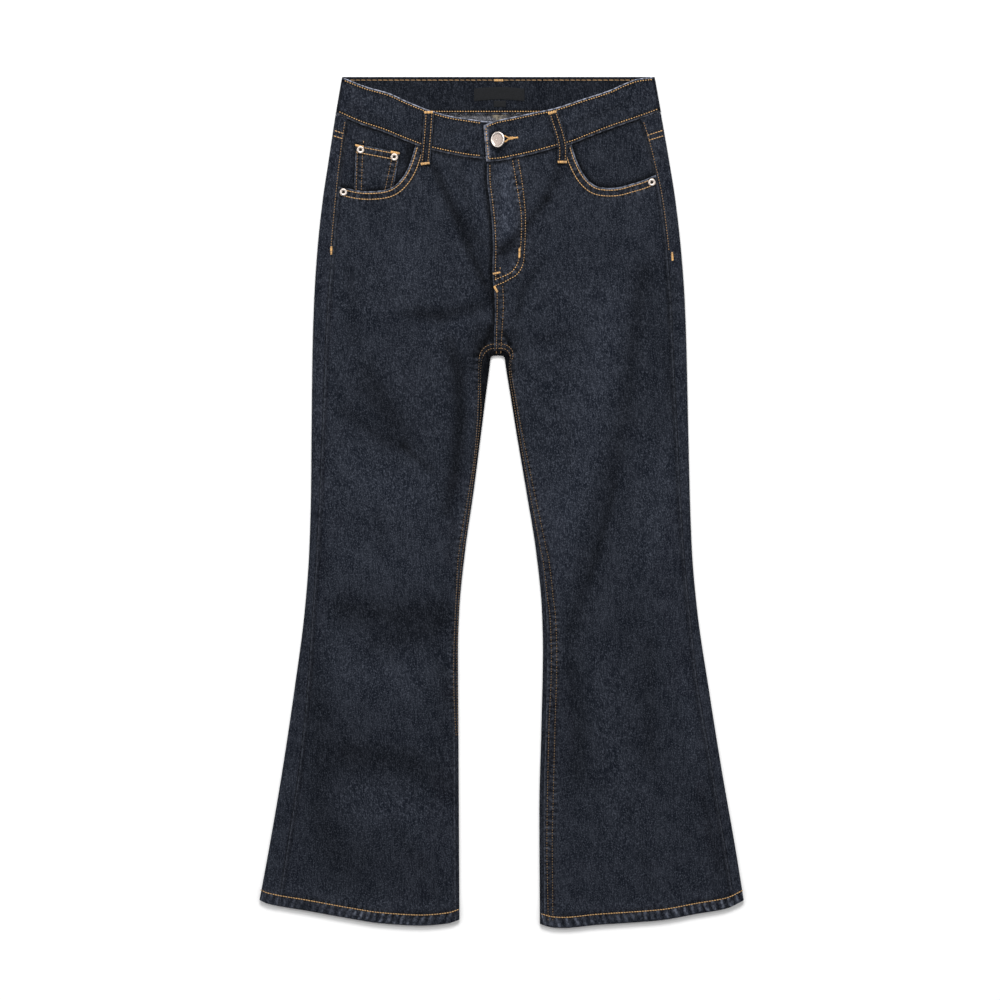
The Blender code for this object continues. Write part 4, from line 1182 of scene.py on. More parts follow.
# %% Stitch rows of the fronts
THREADS = {
    # pitch, share that shows, radius, brightness
    "gold": (3.05, 0.90, 0.55, 0.74),
    "dotted": (3.07, 0.62, 0.55, 0.80),
    "dull": (3.1, 0.70, 0.45, 0.34),
    "faded": (3.07, 0.60, 0.50, 0.56),
    "dim": (3.1, 0.60, 0.47, 0.20),
    # The shade kind is painted shade: nearly black thread where rows lie in the crotch's shadow.
    "shade": (3.1, 0.55, 0.40, 0.02),
    "seam": (3.1, 0.66, 0.48, 0.40),
    "loop": (3.1, 0.66, 0.50, 0.56),
    "chain": (6.4, 0.90, 0.50, 0.55),
}
SCOOP_ROWS = (2.7, 9.5)
FLY_ROW, FLY_END = 3.4, 240.0
J_TURN = 221.0
J_ROWS = [
    [(12.8, 98.5), (16.8, 121.8), (20.8, 145.4), (23.2, 163.1), (23.4, 180.8), (22.6, 198),
     (19.9, 217.4), (13.4, 228.9), (5.5, 234.2), (-2.3, 237.2), (-8.4, 240)],
    [(19.3, 97.5), (23.7, 121.8), (26.5, 145.4), (27.9, 163.1), (27.9, 180.8), (27.3, 198.5),
     (25.2, 220.9), (18.1, 233.3), (10.4, 238.2), (2.5, 242.6), (-8.2, 246.9)],
]
RISE_ROWS = [
    [(-5.3, 253.4), (-5.3, 278.7), (-5.8, 294.1), (-6.2, 322)],
    [(1.1, 246.5), (2.1, 265.2), (1.4, 284.6), (0.2, 304.2), (-0.9, 322)],
]
INSEAM_ROWS = {
    RIGHT: Table("down near far", [
        (329, 8.4, 13.5), (337, 10.4, 13), (353, 9.4, 11.8), (375, 6.3, 8.9),
        (400, 3, 6.7), (455, 2.6, 4.2), (496, 2.5, 5.6), (530, 2, 6.4), (568, 2.6, 7),
        (615, 1.6, 4.6), (649, 1.4, 4.4), (706, 1.4, 5.3), (762, 1, 3.8), (778, 0.5, 2.6),
    ]),
    LEFT: Table("down near far", [
        (329, 8.4, 13.5), (335, 6, 8), (341, 4.2, 5.8), (353, 3.1, 5.2),
        (366, 2.6, 5.3), (460, 3.2, 8), (557, 5.4, 12.1), (570, 6.8, 13.7), (613, 7.3, 14),
        (637, 9.2, 15.7), (706, 10.1, 16.4), (773, 8.9, 16), (842, 9.4, 16.3),
        (909, 8.8, 15.1), (996, 9.9, 15.3),
    ]),
}
FRONT_LOOPS = {
    RIGHT: [(-85.6, 42), (-87.6, 72), (-90.6, 103.5)],
    LEFT: [(60.2, 42), (71, 78), (71.5, 101.7)],
}


def inseam_row(side, which):
    """A row beside the inseam: its places and how far each lies from the fold."""
    table = INSEAM_ROWS[side]
    place, inward, _ = inner_stations(side, leg_downs(CROTCH + CROTCH_CORNER, table.keys[-1]))
    reach = table.at(which, place[:, 1])
    return place + inward * reach[:, None], inward, reach


def loop_border(side):
    """The line round the sides and the lower end of a front loop."""
    line = curve(FRONT_LOOPS[side], 2.0)
    return np.concatenate([shifted(line, 6.2), shifted(line, -6.2)[::-1]])


def rivet_shade_rings():
    """The painted shade that rings each rivet on the cloth round it."""
    rings = []
    for node in sorted(frame["nodes"]):
        if node.startswith("rivet"):
            low, high = (np.array(corner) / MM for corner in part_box(node))
            x, down = 0.5 * (low[0] + high[0]), 0.5 * (LENGTH - low[1] - high[1])
            rings.append((circle(x, down, 0.5 * (high[0] - low[0]) + 0.5), 0.95, 1.3))
    return rings


def hem_row(side, outer_end, inner_end, count):
    """The hem's row, from a distance inside the outer fold to one inside the inner fold."""
    outer_x, inner_x = (table.columns["edge"][0][-1] for table in (OUTER[side], INNER[side]))
    x = np.linspace(outer_x - outer_end * side, inner_x + inner_end * side, count)
    return line_of(x, hem(side, x) - HEM_ROW)


def front_rows(side, scoop, fly):
    """The rows of a front panel, each with its thread."""
    rows = []
    for d in SCOOP_ROWS:
        row = shifted(scoop, side * d)[1:-2]
        rows.append((row[row[:, 1] > below_band(side, row[:, 0]) + 1.0], "gold"))
    rows.append((hem_row(side, 1.0, 0.8, 130), "gold"))
    if side == LEFT:
        rows.append((fly[fly[:, 1] < FLY_END] + (FLY_ROW, 0.0), "faded"))
        for row in J_ROWS:
            line = curve(row, 2.0)
            rows.append((line[line[:, 1] < J_TURN + 1.0], "faded"))
            rows.append((line[line[:, 1] > J_TURN - 1.0], "dotted"))
        rows += [(curve(row, 2.0), "dull") for row in RISE_ROWS]
    return rows


# %% [markdown]
# A front's outline starts at the pocket, runs down the outseam, along the hem, up the inseam and
# the fly, and back along the waist. Shade falls in the ditches beside its seams, under the
# waistband, round loops and rivets, and where the legs meet, and there the cloth is painted almost
# black as painted shade. Those lines are listed with how dark and how wide they are.

# %% Front panels
# Painted shade in the crotch: the ditches where the legs meet, and where the dark strip along the
# inseam ends and how wide it is.
CROTCH_DITCHES = {
    RIGHT: [([(-12, 296), (-15, 307), (-20, 315), (-28, 328)], 0.93, 6)],
    LEFT: [([(0, 302), (5.5, 307), (9.5, 315), (12, 325)], 0.95, 4.8),
           ([(-2.5, 310), (-2.5, 328)], 0.75, 4.5)],
}
CROTCH_DARK = {RIGHT: (366.0, 6.5), LEFT: (350.0, 5.0)}


def front_lines(side):
    """The outline of a front panel, its rows of stitches and its dark ditches."""
    scoop = pocket_edge(side)
    start = scoop[-1][1]
    outer_line = outer_stations(side, leg_downs(start, OUTER[side].keys[-1]))
    outseam = beside(outer_line, GAP)
    outseam = outseam[outseam[:, 1] > start + 1.5]
    outseam[-1, 1] = hem(side, outseam[-1, 0])
    inner_line = whole_inseam(side)
    inseam = beside(inner_line, GAP)
    inseam[-1, 1] = hem(side, inseam[-1, 0])
    hem_x = np.linspace(outseam[-1, 0], inseam[-1, 0], 80)[1:-1]
    hem_line = line_of(hem_x, hem(side, hem_x))
    lap = 0.0 if side == LEFT else FLY_LAP
    fly_down = np.linspace(inseam[0, 1], 104.0, 74)
    fly = line_of(FLY.at("edge", fly_down) + lap, fly_down)
    keep = side * (inseam[:, 0] - fly[0, 0]) > 1.0
    waist = waist_line(side, fly[-1, 0], scoop[0, 0])
    outline = np.concatenate([scoop[1:], outseam, hem_line, inseam[keep][::-1], fly, waist])
    crotch_end, crotch_width = CROTCH_DARK[side]
    crotch = inseam[keep & (inseam[:, 1] < crotch_end)]
    dark = [
        # line, how dark its painted shade is, width
        (waist, 1.0, 2.6), (loop_border(side), 0.85, 1.8),
        (beside(outer_line, GAP + 1.9), 0.9, 1.4), (beside(inner_line, GAP + 1.6), 0.5, 1.3),
        (crotch, 0.97, crotch_width),
        (hem_line - (0.0, 14.8), 0.75, 1.4), (hem_line - (0.0, 0.4), 0.85, 1.0),
    ]
    if side == RIGHT:
        # Painted shadow that the left front's lapped fly edge casts on the right front.
        dark.append((fly - (FLY_LAP + 1.2, 0.0), 1.0, 3.0))
    dark += CROTCH_DITCHES[side] + rivet_shade_rings()
    return outline, front_rows(side, scoop, fly), dark


def make_front(side):
    outline, rows, dark = front_lines(side)
    top = partial(front_outer, side)
    sunk = [row for row, _ in rows] + [inseam_row(side, which)[0] for which in ("near", "far")]
    pale = pocket_edge(side)

    def wear_and_highlight(x, down):
        """The rubbed ropes of the hem, and the pale edge of the pocket: partly wear, partly painted
        highlight.
        """
        away, _ = nearest(np.column_stack([x, down]), pale)
        return np.maximum(0.8 * hem_rope(side, x, down)[1], 0.85 * (1.0 - ease(away, 0.6, 1.9)))

    sheet = panel(outline, 3.0, top, lambda x, down: top(x, down) - thickness(side, x, down), sunk,
                  0.22, 7.0, dark, 0.30, wear_and_highlight)
    # Painted shade in the gaps between the hem's ridges.
    gaps = hem_rope(side, *sheet[0][:, :2].T)[2]
    sheet = sheet[:4] + (np.maximum(sheet[4], 0.62 * gaps),)
    piece = cloth(f"front_{SIDES[side]}_shell", [sheet], DENIM)
    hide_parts(f"front_{SIDES[side]}")
    return piece, rows


fronts = {side: make_front(side) for side in SIDES}

# %% [markdown]
# ## Pocket facings and the coin pocket
# Inside each scoop lies a facing of the same denim, and on the right one sits the small coin
# pocket. Both carry on under the front panel, as they do on a real pair.

# %% Facings and coin pocket
def facing_wash(x, down):
    """The front's painted shading and wash, a little darker on a facing."""
    return front_wash(x, down) - 0.12


def make_facing(side):
    edge = shifted(pocket_edge(side, 3.0), FACING_REACH * side)
    outseam = beside(outer_stations(side, np.linspace(44.0, 146.0, 40)), GAP)
    keep = (outseam[:, 1] > below_band(side, outseam[:, 0]) + 1.0) & (outseam[:, 1] < edge[-1, 1])
    outseam = outseam[keep]
    waist = waist_line(side, outseam[0, 0], edge[0, 0])
    edge = edge[edge[:, 1] > waist[-1, 1] + 2.0]
    edge = edge[side * (outseam[-1, 0] - edge[:, 0]) > 2.0]
    outline = np.concatenate([waist, edge, outseam[:0:-1]])
    top = partial(facing_top, side)
    # Painted shade under the waistband, under the pocket's edge, along the outseam and round the
    # coin pocket.
    dark = [(waist, 1.0, 2.6), (pocket_edge(side, 3.0), 1.0, 4.6), (outseam, 0.9, 1.7)]
    dark += rivet_shade_rings()
    if side == RIGHT:
        dark.append((closed_outline(COIN_POCKET, 2.5), 0.9, 1.8))
        dark.append(([(-108.0, 76.0), (-110.0, 88.0), (-113.0, 100.0)], 0.75, 5.5))
    sheet = panel(outline, 2.6, top, lambda x, down: top(x, down) - CLOTH, dark=dark)
    piece = cloth(f"pocket_facing_{SIDES[side]}_shell", [sheet], DENIM, facing_wash)
    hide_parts(f"pocket_facing_{SIDES[side]}")
    return piece


def make_coin_pocket():
    outline = closed_outline(COIN_POCKET, 2.5)
    top_left, top_right, _, low_right, low_left = np.array(COIN_POCKET)
    along = (top_right - top_left) / np.linalg.norm(top_right - top_left)
    under = np.array([-along[1], along[0]])
    ends = (top_left + along * 1.5, top_right - along * 1.5)
    rows = [(resample([end + under * d for end in ends], 2.0), "gold") for d in (2.4, 9.2)]
    for inset in (2.0, 8.2):
        rows.append((resample([top_left + (inset, 3.0), low_left + (inset, 0.0)], 2.0), "dull"))
        rows.append((resample([top_right + (-inset, 3.0), low_right + (-inset, 0.0)], 2.0), "dull"))
    # Painted shade round the rivets and under the pocket's edge.
    dark = rivet_shade_rings() + [(pocket_edge(RIGHT, 3.0), 1.0, 4.6)]
    sheet = panel(outline, 2.6, coin_top, lambda x, down: coin_top(x, down) - CLOTH,
                  [row for row, _ in rows], 0.1, 6.5, dark)
    piece = cloth("coin_pocket_shell", [sheet], DENIM, facing_wash)
    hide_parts("coin_pocket")
    return piece, rows


facings = {side: make_facing(side) for side in SIDES}
coin_pocket, coin_rows = make_coin_pocket()

# %% [markdown]
# ## Back pockets
# Two plain patch pockets lie under the seat. They carry two rows of stitches round their edge
# and no other sewing.

# %% Back pockets
POCKET_DEPTH, POCKET_TIP = 132.0, 24.0
POCKET_TOP_WIDTH, POCKET_LOW_WIDTH = 144.0, 124.0
POCKET_MIDDLE, POCKET_TOP = 106.0, 124.0
POCKET_TILT = math.radians(-7.0)


def pocket_outline(side, inset=0.0):
    half_top, half_low = 0.5 * POCKET_TOP_WIDTH - inset, 0.5 * POCKET_LOW_WIDTH - inset
    shape = [(-half_top, inset), (half_top, inset), (half_low, POCKET_DEPTH - 0.5 * inset),
             (0.0, POCKET_DEPTH + POCKET_TIP - inset), (-half_low, POCKET_DEPTH - 0.5 * inset)]
    tilt = Matrix.Rotation(POCKET_TILT * side, 2)
    middle = Vector((CENTRE + side * POCKET_MIDDLE, POCKET_TOP))
    return [tuple(middle + tilt @ Vector(p)) for p in shape]


def make_back_pocket(side):
    rows = []
    for inset in (2.4, 8.6):
        corners = pocket_outline(side, inset)
        rows.append(resample(corners[1:] + corners[:1], 2.0))
    top_left, top_right = pocket_outline(side, 10.0)[:2]
    rows.append(resample([top_left, top_right], 2.0))
    outline = closed_outline(pocket_outline(side), 3.0)
    places, faces = plan(outline, 5.0, row_lines(rows))
    wave, rub, deep = pucker(rows, places, 0.1, 7.0)
    roll, away = roll_off(places, outline)
    low = np.clip(-wave, 0.0, 0.3) + roll
    sheet = (
        np.column_stack([places, low]),
        np.column_stack([places, np.full(len(places), CLOTH)]),
        faces,
        np.maximum(0.35 * rub, 0.5 * (1.0 - ease(away, 0.0, 1.6))),
        # Painted shade beside the rows.
        0.7 * deep,
    )
    piece = cloth(f"back_pocket_{SIDES[side]}_shell", [sheet], DENIM, back_wash)
    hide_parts(f"back_pocket_{SIDES[side]}")
    return piece, rows


back_pockets = {side: make_back_pocket(side) for side in SIDES}

# %% [markdown]
# ## Waistband
# The waistband is one long strip, folded along its upper edge and sewn down along its lower
# edge. It goes from the underlap on the right front round the back to the end that holds the
# buttonhole. A rounded section is carried along it, so its folded edge catches the light.

# %% Waistband sweep
BAND_ROUND = 1.0
BAND_STEPS = 72
TOP_ROW, LOW_ROW = 3.0, 3.6
BUTTON_PLACE = (-4.4, 74.8)
BUTTON_RADIUS = 9.6


def band_lines(side):
    """Places of the top and lower edge of a front half, from the middle to the side fold."""
    table = BAND[side]
    end_x = table.keys[-1] if side == RIGHT else table.keys[0]
    low_x = np.linspace(end_x, band_fold_x(side), BAND_STEPS)
    top = line_of(table.at("top_x", low_x), table.at("top", low_x))
    low = line_of(low_x, table.at("low", low_x))
    return top, low, table.at("outer", low_x)


def band_stations(side):
    """Top edge, lower edge and both heights along a half, and on round the side fold."""
    top, low, outer = band_lines(side)
    rows = [(t, l, o, o - BAND_CLOTH) for t, l, o in zip(top, low, outer)]
    height = outer[-1]
    middle, tall = 0.5 * (BAND_LIFT + height), 0.5 * (height - BAND_LIFT)
    for turn in np.radians(np.linspace(80.0, -80.0, 17)):
        out_x = side * BAND_FOLD_REACH * math.cos(turn)
        in_x = side * (BAND_FOLD_REACH - BAND_CLOTH) * math.cos(turn)
        drop = 0.5 * (1.0 - math.sin(turn))
        there_top = np.array([top[-1][0], top[-1][1] * (1.0 - drop)])
        rows.append((
            (there_top + (out_x, 0.0), there_top + (in_x, 0.0)),
            (low[-1] + (out_x, 0.0), low[-1] + (in_x, 0.0)),
            middle + tall * math.sin(turn),
            middle + (tall - BAND_CLOTH) * math.sin(turn),
        ))
    return rows


def band_section(top, low, outer, inner, index):
    """A ring down the outer face and up the inner one: points, edge distances and rope."""
    top_out, top_in = (top, top) if np.ndim(top) == 1 else top
    low_out, low_in = (low, low) if np.ndim(low) == 1 else low
    height = np.linalg.norm(np.subtract(low_out, top_out))
    from_top = np.concatenate([
        [0.0, 0.25, 0.6, 1.2, 2.0, 3.0, 4.0, 5.2], np.linspace(8.0, height - 8.5, 7),
        height - np.array([5.8, 4.6, 3.6, 2.6, 1.6, 0.7, 0.25, 0.0]),
    ])
    near = np.minimum(from_top, height - from_top)
    sink = 0.42 * (1.0 - quarter_round(near / BAND_ROUND))
    swell = 0.14 * math.sin(index * 1.35 + 1.6 * math.sin(index / 7.0))
    wave = swell * np.exp(-((near / 5.0) ** 2))
    rows = np.minimum(abs(from_top - TOP_ROW), abs(height - from_top - LOW_ROW))
    share = (from_top / height)[:, None]
    front = np.add(top_out, np.subtract(low_out, top_out) * share)
    back = np.add(top_in, np.subtract(low_in, top_in) * share)
    crease = relief(BAND_CREASES, *front.T, 1, 3) * (1.0 if outer > inner else 0.0)
    lift = crease + wave - 0.2 * np.exp(-((rows / ROW_WIDTH) ** 2))
    lift = lift * (1.0 if outer > inner else -1.0)
    outside = np.column_stack([front, outer + (inner - outer) * sink + lift])
    inside_face = np.column_stack([back, inner + (outer - inner) * sink - 0.4 * lift])
    spread = np.concatenate([from_top, from_top[::-1]])
    ropes = max(swell, 0.0) / 0.14
    return np.concatenate([outside, inside_face[::-1]]), spread, height - spread, ropes


def back_band_stations(right, left):
    """The stations of the back half, between the last front stations of both halves."""
    (right_top, right_low), (left_top, left_low) = right[:2], left[:2]
    middle = 0.5 * (right_low[0] + left_low[0])
    back = []
    for t in np.linspace(0.0, 1.0, 130)[1:-1]:
        top_x = right_top[0] + (left_top[0] - right_top[0]) * t
        low_x = right_low[0] + (left_low[0] - right_low[0]) * t
        low = np.interp(low_x, [right_low[0], middle, left_low[0]],
                        [right_low[1], BACK_BAND_LOW, left_low[1]])
        top, low = np.array([top_x, 0.0]), np.array([low_x, low])
        back.append((top, low, BAND_LIFT, BAND_LIFT + BAND_CLOTH))
    return back


# %% [markdown]
# The strip's ends are closed with a row of faces. Its upper fold is the palest line on the whole
# garment, the lower edge is rubbed in small ropes, and the inside of the back half is darker.

# %% Waistband piece
def make_waistband():
    right, left = band_stations(RIGHT), band_stations(LEFT)
    back = back_band_stations(right[BAND_STEPS - 1], left[BAND_STEPS - 1])
    sections = [band_section(*row, i) for i, row in enumerate(right + back + left[::-1])]
    points = np.concatenate([section[0] for section in sections])
    count, width = len(sections), len(sections[0][0])
    faces = ring_faces(count, width)
    half = width // 2
    for start in (0, (count - 1) * width):
        faces += [[start + j, start + j + 1, start + width - 2 - j, start + width - 1 - j]
                  for j in range(half - 1)]
    from_top, from_low = (np.concatenate([s[k] for s in sections]) for k in (1, 2))
    ropes = np.repeat([section[3] for section in sections], width)
    order = np.arange(count)
    front_half = np.repeat((order < BAND_STEPS) | (order >= count - BAND_STEPS), width)
    rub = np.where(front_half, 1.0, 0.15) * (1.0 - ease(from_top, 0.3, 1.9))
    rub = np.maximum(rub, (0.16 + 0.25 * ropes) * (1.0 - ease(from_low, 0.4, 2.2)))
    ends = np.repeat((order < 2) | (order > count - 3), width)
    rub = np.where(ends, 0.45, rub)
    rows_away = np.minimum(abs(from_top - TOP_ROW), abs(from_low - LOW_ROW))
    # Painted shade beside the rows.
    deep = 0.75 * np.exp(-((rows_away / 2.1) ** 2)) * ease(from_top, 1.0, 2.2)
    # Painted shade round the loops, round the button and along the end of the overlap.
    painted_shade_lines = [(loop_border(side), 0.75, 1.5) for side in SIDES]
    painted_shade_lines += [(circle(*BUTTON_PLACE, BUTTON_RADIUS + 0.4), 0.8, 1.6)]
    painted_shade_lines += [([(-21.5, 57.0), (-18.6, 101.0)], 0.9, 1.8)]
    deep = np.maximum(deep, np.where(front_half, ditch_shade(points[:, :2], painted_shade_lines), 0.0))
    front_wash_here = relief(BAND_CREASES, *points[:, :2].T, 2, 3) - 0.04
    piece = new_mesh("waistband_shell", world(points), faces, (band_denim,), rub=rub, deep=deep,
                     wash=np.where(front_half, front_wash_here, -0.38))
    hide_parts("waistband")
    print("waistband:", count, "sections of", width, "points")
    return piece


waistband = make_waistband()

# %% [markdown]
# ## Belt loops
# A belt loop is a narrow strip with its raw edges folded under, tacked down at both ends with a
# little slack for the belt. Two rows of stitches run along it.

# %% Belt loops
BACK_LOOPS = {"centre": -3.7, "right": -108.0, "left": 101.0}
LOOP_TOP, LOOP_LOW = 3.0, 58.0
LOOP_SLACK = 0.7
LOOP_ROW = 3.4


def loop_strip(name, line, heights, thick, node):
    """A strip along a line: a rounded section with a slightly hollow middle."""
    along = directions(line)
    across = line_of(along[:, 1], -along[:, 0])
    half = 0.5 * LOOP_WIDTH
    shape = []
    for share in (-1.0, -0.96, -0.86, -0.6, -0.3, 0.0, 0.3, 0.6, 0.86, 0.96, 1.0):
        edge = 1.0 - min((1.0 - abs(share)) / 0.14, 1.0)
        hump = 0.16 * math.exp(-(((abs(share) - 0.8) / 0.16) ** 2))
        shape.append((share * half, thick * (1.0 - 0.45 * edge**2) + hump - 0.12))
    upper = [np.column_stack([line + across * s, heights + z]) for s, z in shape]
    lower = [np.column_stack([line + across * s, heights + 0.05]) for s, _ in reversed(shape)]
    ring = np.array(upper + lower).transpose(1, 0, 2)
    count, width = ring.shape[:2]
    faces = ring_faces(count, width)
    faces += [list(range(width)), list(range((count - 1) * width, count * width))]
    rub = np.tile([0.42 if j in (0, 1, 9, 10, 11, 21) else 0.0 for j in range(width)], count)
    # Painted shade: darker across the loop's top on both sides of its middle, lighter at its
    # middle, edges and underside.
    deep = np.tile([0.6 if j in (2, 3, 4, 6, 7, 8) else 0.3 for j in range(width)], count)
    piece = new_mesh(name, world(ring.reshape(-1, 3)), faces, (denim,), rub=rub, deep=deep,
                     wash=np.full(len(rub), 0.10))
    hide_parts(node)
    return piece


def front_loop_line(side):
    """The line of a front loop and the height of its underside."""
    line = curve(FRONT_LOOPS[side], 1.5)
    table = BAND[side]
    x, down = line.T
    band = table.at("outer", x) + GAP
    cloth_height = front_outer(side, x, down) + GAP
    height = band + (cloth_height - band) * ease(down - table.at("low", x), 5.0, 15.0)
    return line, height + 0.35 + LOOP_SLACK * np.sin(np.linspace(0.0, math.pi, len(line)))


def make_loops():
    made = []
    for side in SIDES:
        line, height = front_loop_line(side)
        name = f"belt_loop_front_{SIDES[side]}"
        made.append(loop_strip(name + "_shell", line, height, CLOTH, name))
    for place, x in BACK_LOOPS.items():
        downs = np.arange(LOOP_TOP, LOOP_LOW + 0.1, 2.5)
        line = line_of(np.full(len(downs), x), downs)
        node = "belt_loop_back" if place == "centre" else f"belt_loop_back_{place}"
        heights = np.full(len(line), CLOTH + 0.25)
        made.append(loop_strip(node + "_shell", line, heights, -CLOTH, node))
    print(len(made), "belt loops")
    return made


belt_loops = make_loops()

# %% [markdown]
# ## Thread
# The topstitching is thick tobacco-gold thread, and it is what draws the pattern of the jeans.
# Each stitch is a small bead of thread that rises out of one hole and dips into the next. All the
# stitches of a group are one mesh, made by moving a unit stitch along the rows.

# %% Thread material
def make_thread(name, stops):
    """Twisted thread. The tone of each stitch picks its colour from the stops."""
    made, tree, shader = new_material(name, 0.6)
    place = tree.nodes.new("ShaderNodeTexCoord").outputs["Object"]
    fuzz = noise_node(tree, place, 1500.0, 2.0, 0.6)
    speckle = map_range(tree, fuzz, 0.3, 0.7, -0.09, 0.09)
    factor = math_node(tree, "ADD", attribute(tree, "tone"), speckle, clamp=True)
    ramp = tree.nodes.new("ShaderNodeValToRGB")
    while len(ramp.color_ramp.elements) < len(stops):
        ramp.color_ramp.elements.new(0.5)
    for element, (position, colour) in zip(ramp.color_ramp.elements, stops):
        element.position = position
        element.color = colour + (1.0,)
    link(tree, factor, ramp.inputs["Fac"])
    link(tree, ramp.outputs["Color"], shader.inputs["Base Color"])
    bump(tree, shader, fuzz, 0.5, 0.0002)
    settings(shader, {"Sheen Weight": 0.1, "Specular IOR Level": 0.3})
    return made


thread = make_thread("thread_gold", [
    (0.0, (0.07, 0.048, 0.03)), (0.45, (0.24, 0.14, 0.06)),
    (0.75, (0.48, 0.29, 0.13)), (1.0, (0.80, 0.46, 0.15)),
])
print("made", thread.name)

# %% [markdown]
# A bead of thread is a short tube with rounded ends. A row places one bead after another along
# its path, with a little chance in the spacing, the slant and the tone, as a machine on thick
# cloth would. The seed of each group is fixed, so every run sews the same stitches.

# %% Bead of thread
STITCH_RINGS, STITCH_SIDES = 5, 6
BEAD_FLATNESS, ROW_ARCH = 0.75, 0.25
STITCH_SUNK = 0.12
STITCH_FLOOR = 0.02


def unit_stitch():
    """A bead along x from -1 to 1: points as (along, across, up, arch) and its faces."""
    points = [(-1.0, 0.0, 0.0, 0.0)]
    for i in range(STITCH_RINGS):
        u = -0.86 + 1.72 * i / (STITCH_RINGS - 1)
        radius = math.sqrt(1.0 - u**4)
        for j in range(STITCH_SIDES):
            turn = 2 * math.pi * j / STITCH_SIDES
            points.append((u, radius * math.cos(turn), radius * math.sin(turn), 1.0 - u * u))
    points.append((1.0, 0.0, 0.0, 0.0))
    faces = []
    for j in range(STITCH_SIDES):
        k = (j + 1) % STITCH_SIDES
        faces.append([0, 1 + k, 1 + j])
        last = 1 + (STITCH_RINGS - 1) * STITCH_SIDES
        faces.append([last + j, last + k, len(points) - 1])
        for i in range(STITCH_RINGS - 1):
            a = 1 + i * STITCH_SIDES
            b = a + STITCH_SIDES
            faces += [[a + j, a + k, b + k], [a + j, b + k, b + j]]
    return np.array(points), np.array(faces)


UNIT_POINTS, UNIT_FACES = unit_stitch()
print("a bead has", len(UNIT_FACES), "triangles")

# %% [markdown]
# The stitches of a group are gathered as plain arrays and turned into one mesh at the end. Each
# bead carries its own tone, so that neighbouring stitches differ a little.

# %% Rows of beads
class Stitches:
    """Beads of thread gathered into one mesh."""

    def __init__(self, seed):
        self.points, self.faces, self.tones = [], [], []
        self.draw = random.Random(seed)

    def add(self, start, end, normal, radius, arch, tone):
        """One bead from start to end, in millimetres, on a surface with this normal."""
        start, end, normal = (np.asarray(v, float) for v in (start, end, normal))
        along = 0.5 * (end - start)
        across = np.cross(normal, along)
        across /= max(np.linalg.norm(across), 1e-9)
        middle = 0.5 * (start + end)
        u, v, w, lift = UNIT_POINTS.T
        points = middle + u[:, None] * along + (v * radius)[:, None] * across
        points = points + ((w * radius * BEAD_FLATNESS) + arch * lift)[:, None] * normal
        self.faces.append(UNIT_FACES + len(self.points) * len(UNIT_POINTS))
        self.points.append(points)
        self.tones.append(np.full(len(points), tone))

    def row(self, path, normals, kind="gold", slant=0.10):
        """Beads along a path of points in millimetres, sewn with one of the threads."""
        pitch, fill, radius, bright = THREADS[kind]
        path = np.asarray(path, float)
        run = run_along(path)
        count = max(int(run[-1] / pitch), 1)
        step = run[-1] / count
        for i in range(count):
            mid = (i + 0.5 + self.draw.uniform(-0.05, 0.05)) * step
            ends = (mid - 0.5 * fill * step, mid + 0.5 * fill * step)
            a, b = (np.array([np.interp(s, run, c) for c in path.T]) for s in ends)
            normal = np.array([np.interp(mid, run, c) for c in normals.T])
            side = np.cross(normal, b - a) * slant * self.draw.uniform(0.5, 1.2)
            tone = bright + self.draw.uniform(-0.09, 0.09)
            self.add(a - side * 0.5, b + side * 0.5, normal, radius, ROW_ARCH, tone)

    def build(self, name):
        """The group's mesh. Threads underneath are pressed flat on the surface."""
        points = np.concatenate(self.points)
        points[:, 2] = np.maximum(points[:, 2], STITCH_FLOOR)
        faces = np.concatenate(self.faces)
        mesh = bpy.data.meshes.new(name)
        mesh.from_pydata(world(points).tolist(), [], faces[:, ::-1].tolist())
        mesh.materials.append(thread)
        layer = mesh.attributes.new("tone", "FLOAT", "POINT")
        layer.data.foreach_set("value", np.concatenate(self.tones).astype(np.float32))
        mesh.shade_smooth()
        piece = add_object(name, mesh)
        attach(piece, "root")
        print(name, len(self.points), "stitches,", len(faces), "triangles")
        return piece


UP = np.array([0.0, 0.0, 1.0])


def on_surface(row, surface, sign=1.0):
    """A flat row of stitches set on a surface, and its normals."""
    row = np.asarray(row, float)
    path = np.column_stack([row, surface(row[:, 0], row[:, 1]) - sign * STITCH_SUNK])
    return path, np.tile(UP * sign, (len(row), 1))


# %% [markdown]
# The rows go on piece by piece. The rows that the photograph shows as fine beads keep the fine
# pitch, and the bar tacks are packed side by side in a brighter thread.

# %% Front stitches
BELOW_POCKETS = 400.0


def on_fold(side, which):
    """A row beside the inseam, which may run up on to the rounded fold."""
    line, inward, reach = inseam_row(side, which)
    x, down = line.T
    flat = front_outer(side, x, down) if side == LEFT else front_top(side, x, down)
    low = back_low(down)
    middle, half = 0.5 * (low + flat), 0.5 * (flat - low)
    turn = np.arccos(np.clip(1.0 - reach / FOLD_REACH, 0.0, 1.0))
    height = np.where(reach < FOLD_REACH, middle + half * np.sin(turn), flat)
    lean = np.where(reach < FOLD_REACH, np.cos(turn), 0.0)
    normals = np.column_stack([-inward * lean[:, None], np.sqrt(1.0 - lean**2)])
    return np.column_stack([line, height - STITCH_SUNK]), normals


def sewn_height(side, x, down):
    """Height of the front, also where it rounds the folds of a leg."""
    flat = front_outer(side, x, down)
    reach = np.minimum(abs(OUTER[side].at("edge", down) - x), abs(x - INNER[side].at("edge", down)))
    low = back_low(down)
    rounded_off = 0.5 * (flat + low) + 0.5 * (flat - low) * quarter_round(reach / FOLD_REACH)
    return np.where(down > BELOW_POCKETS, rounded_off, flat)


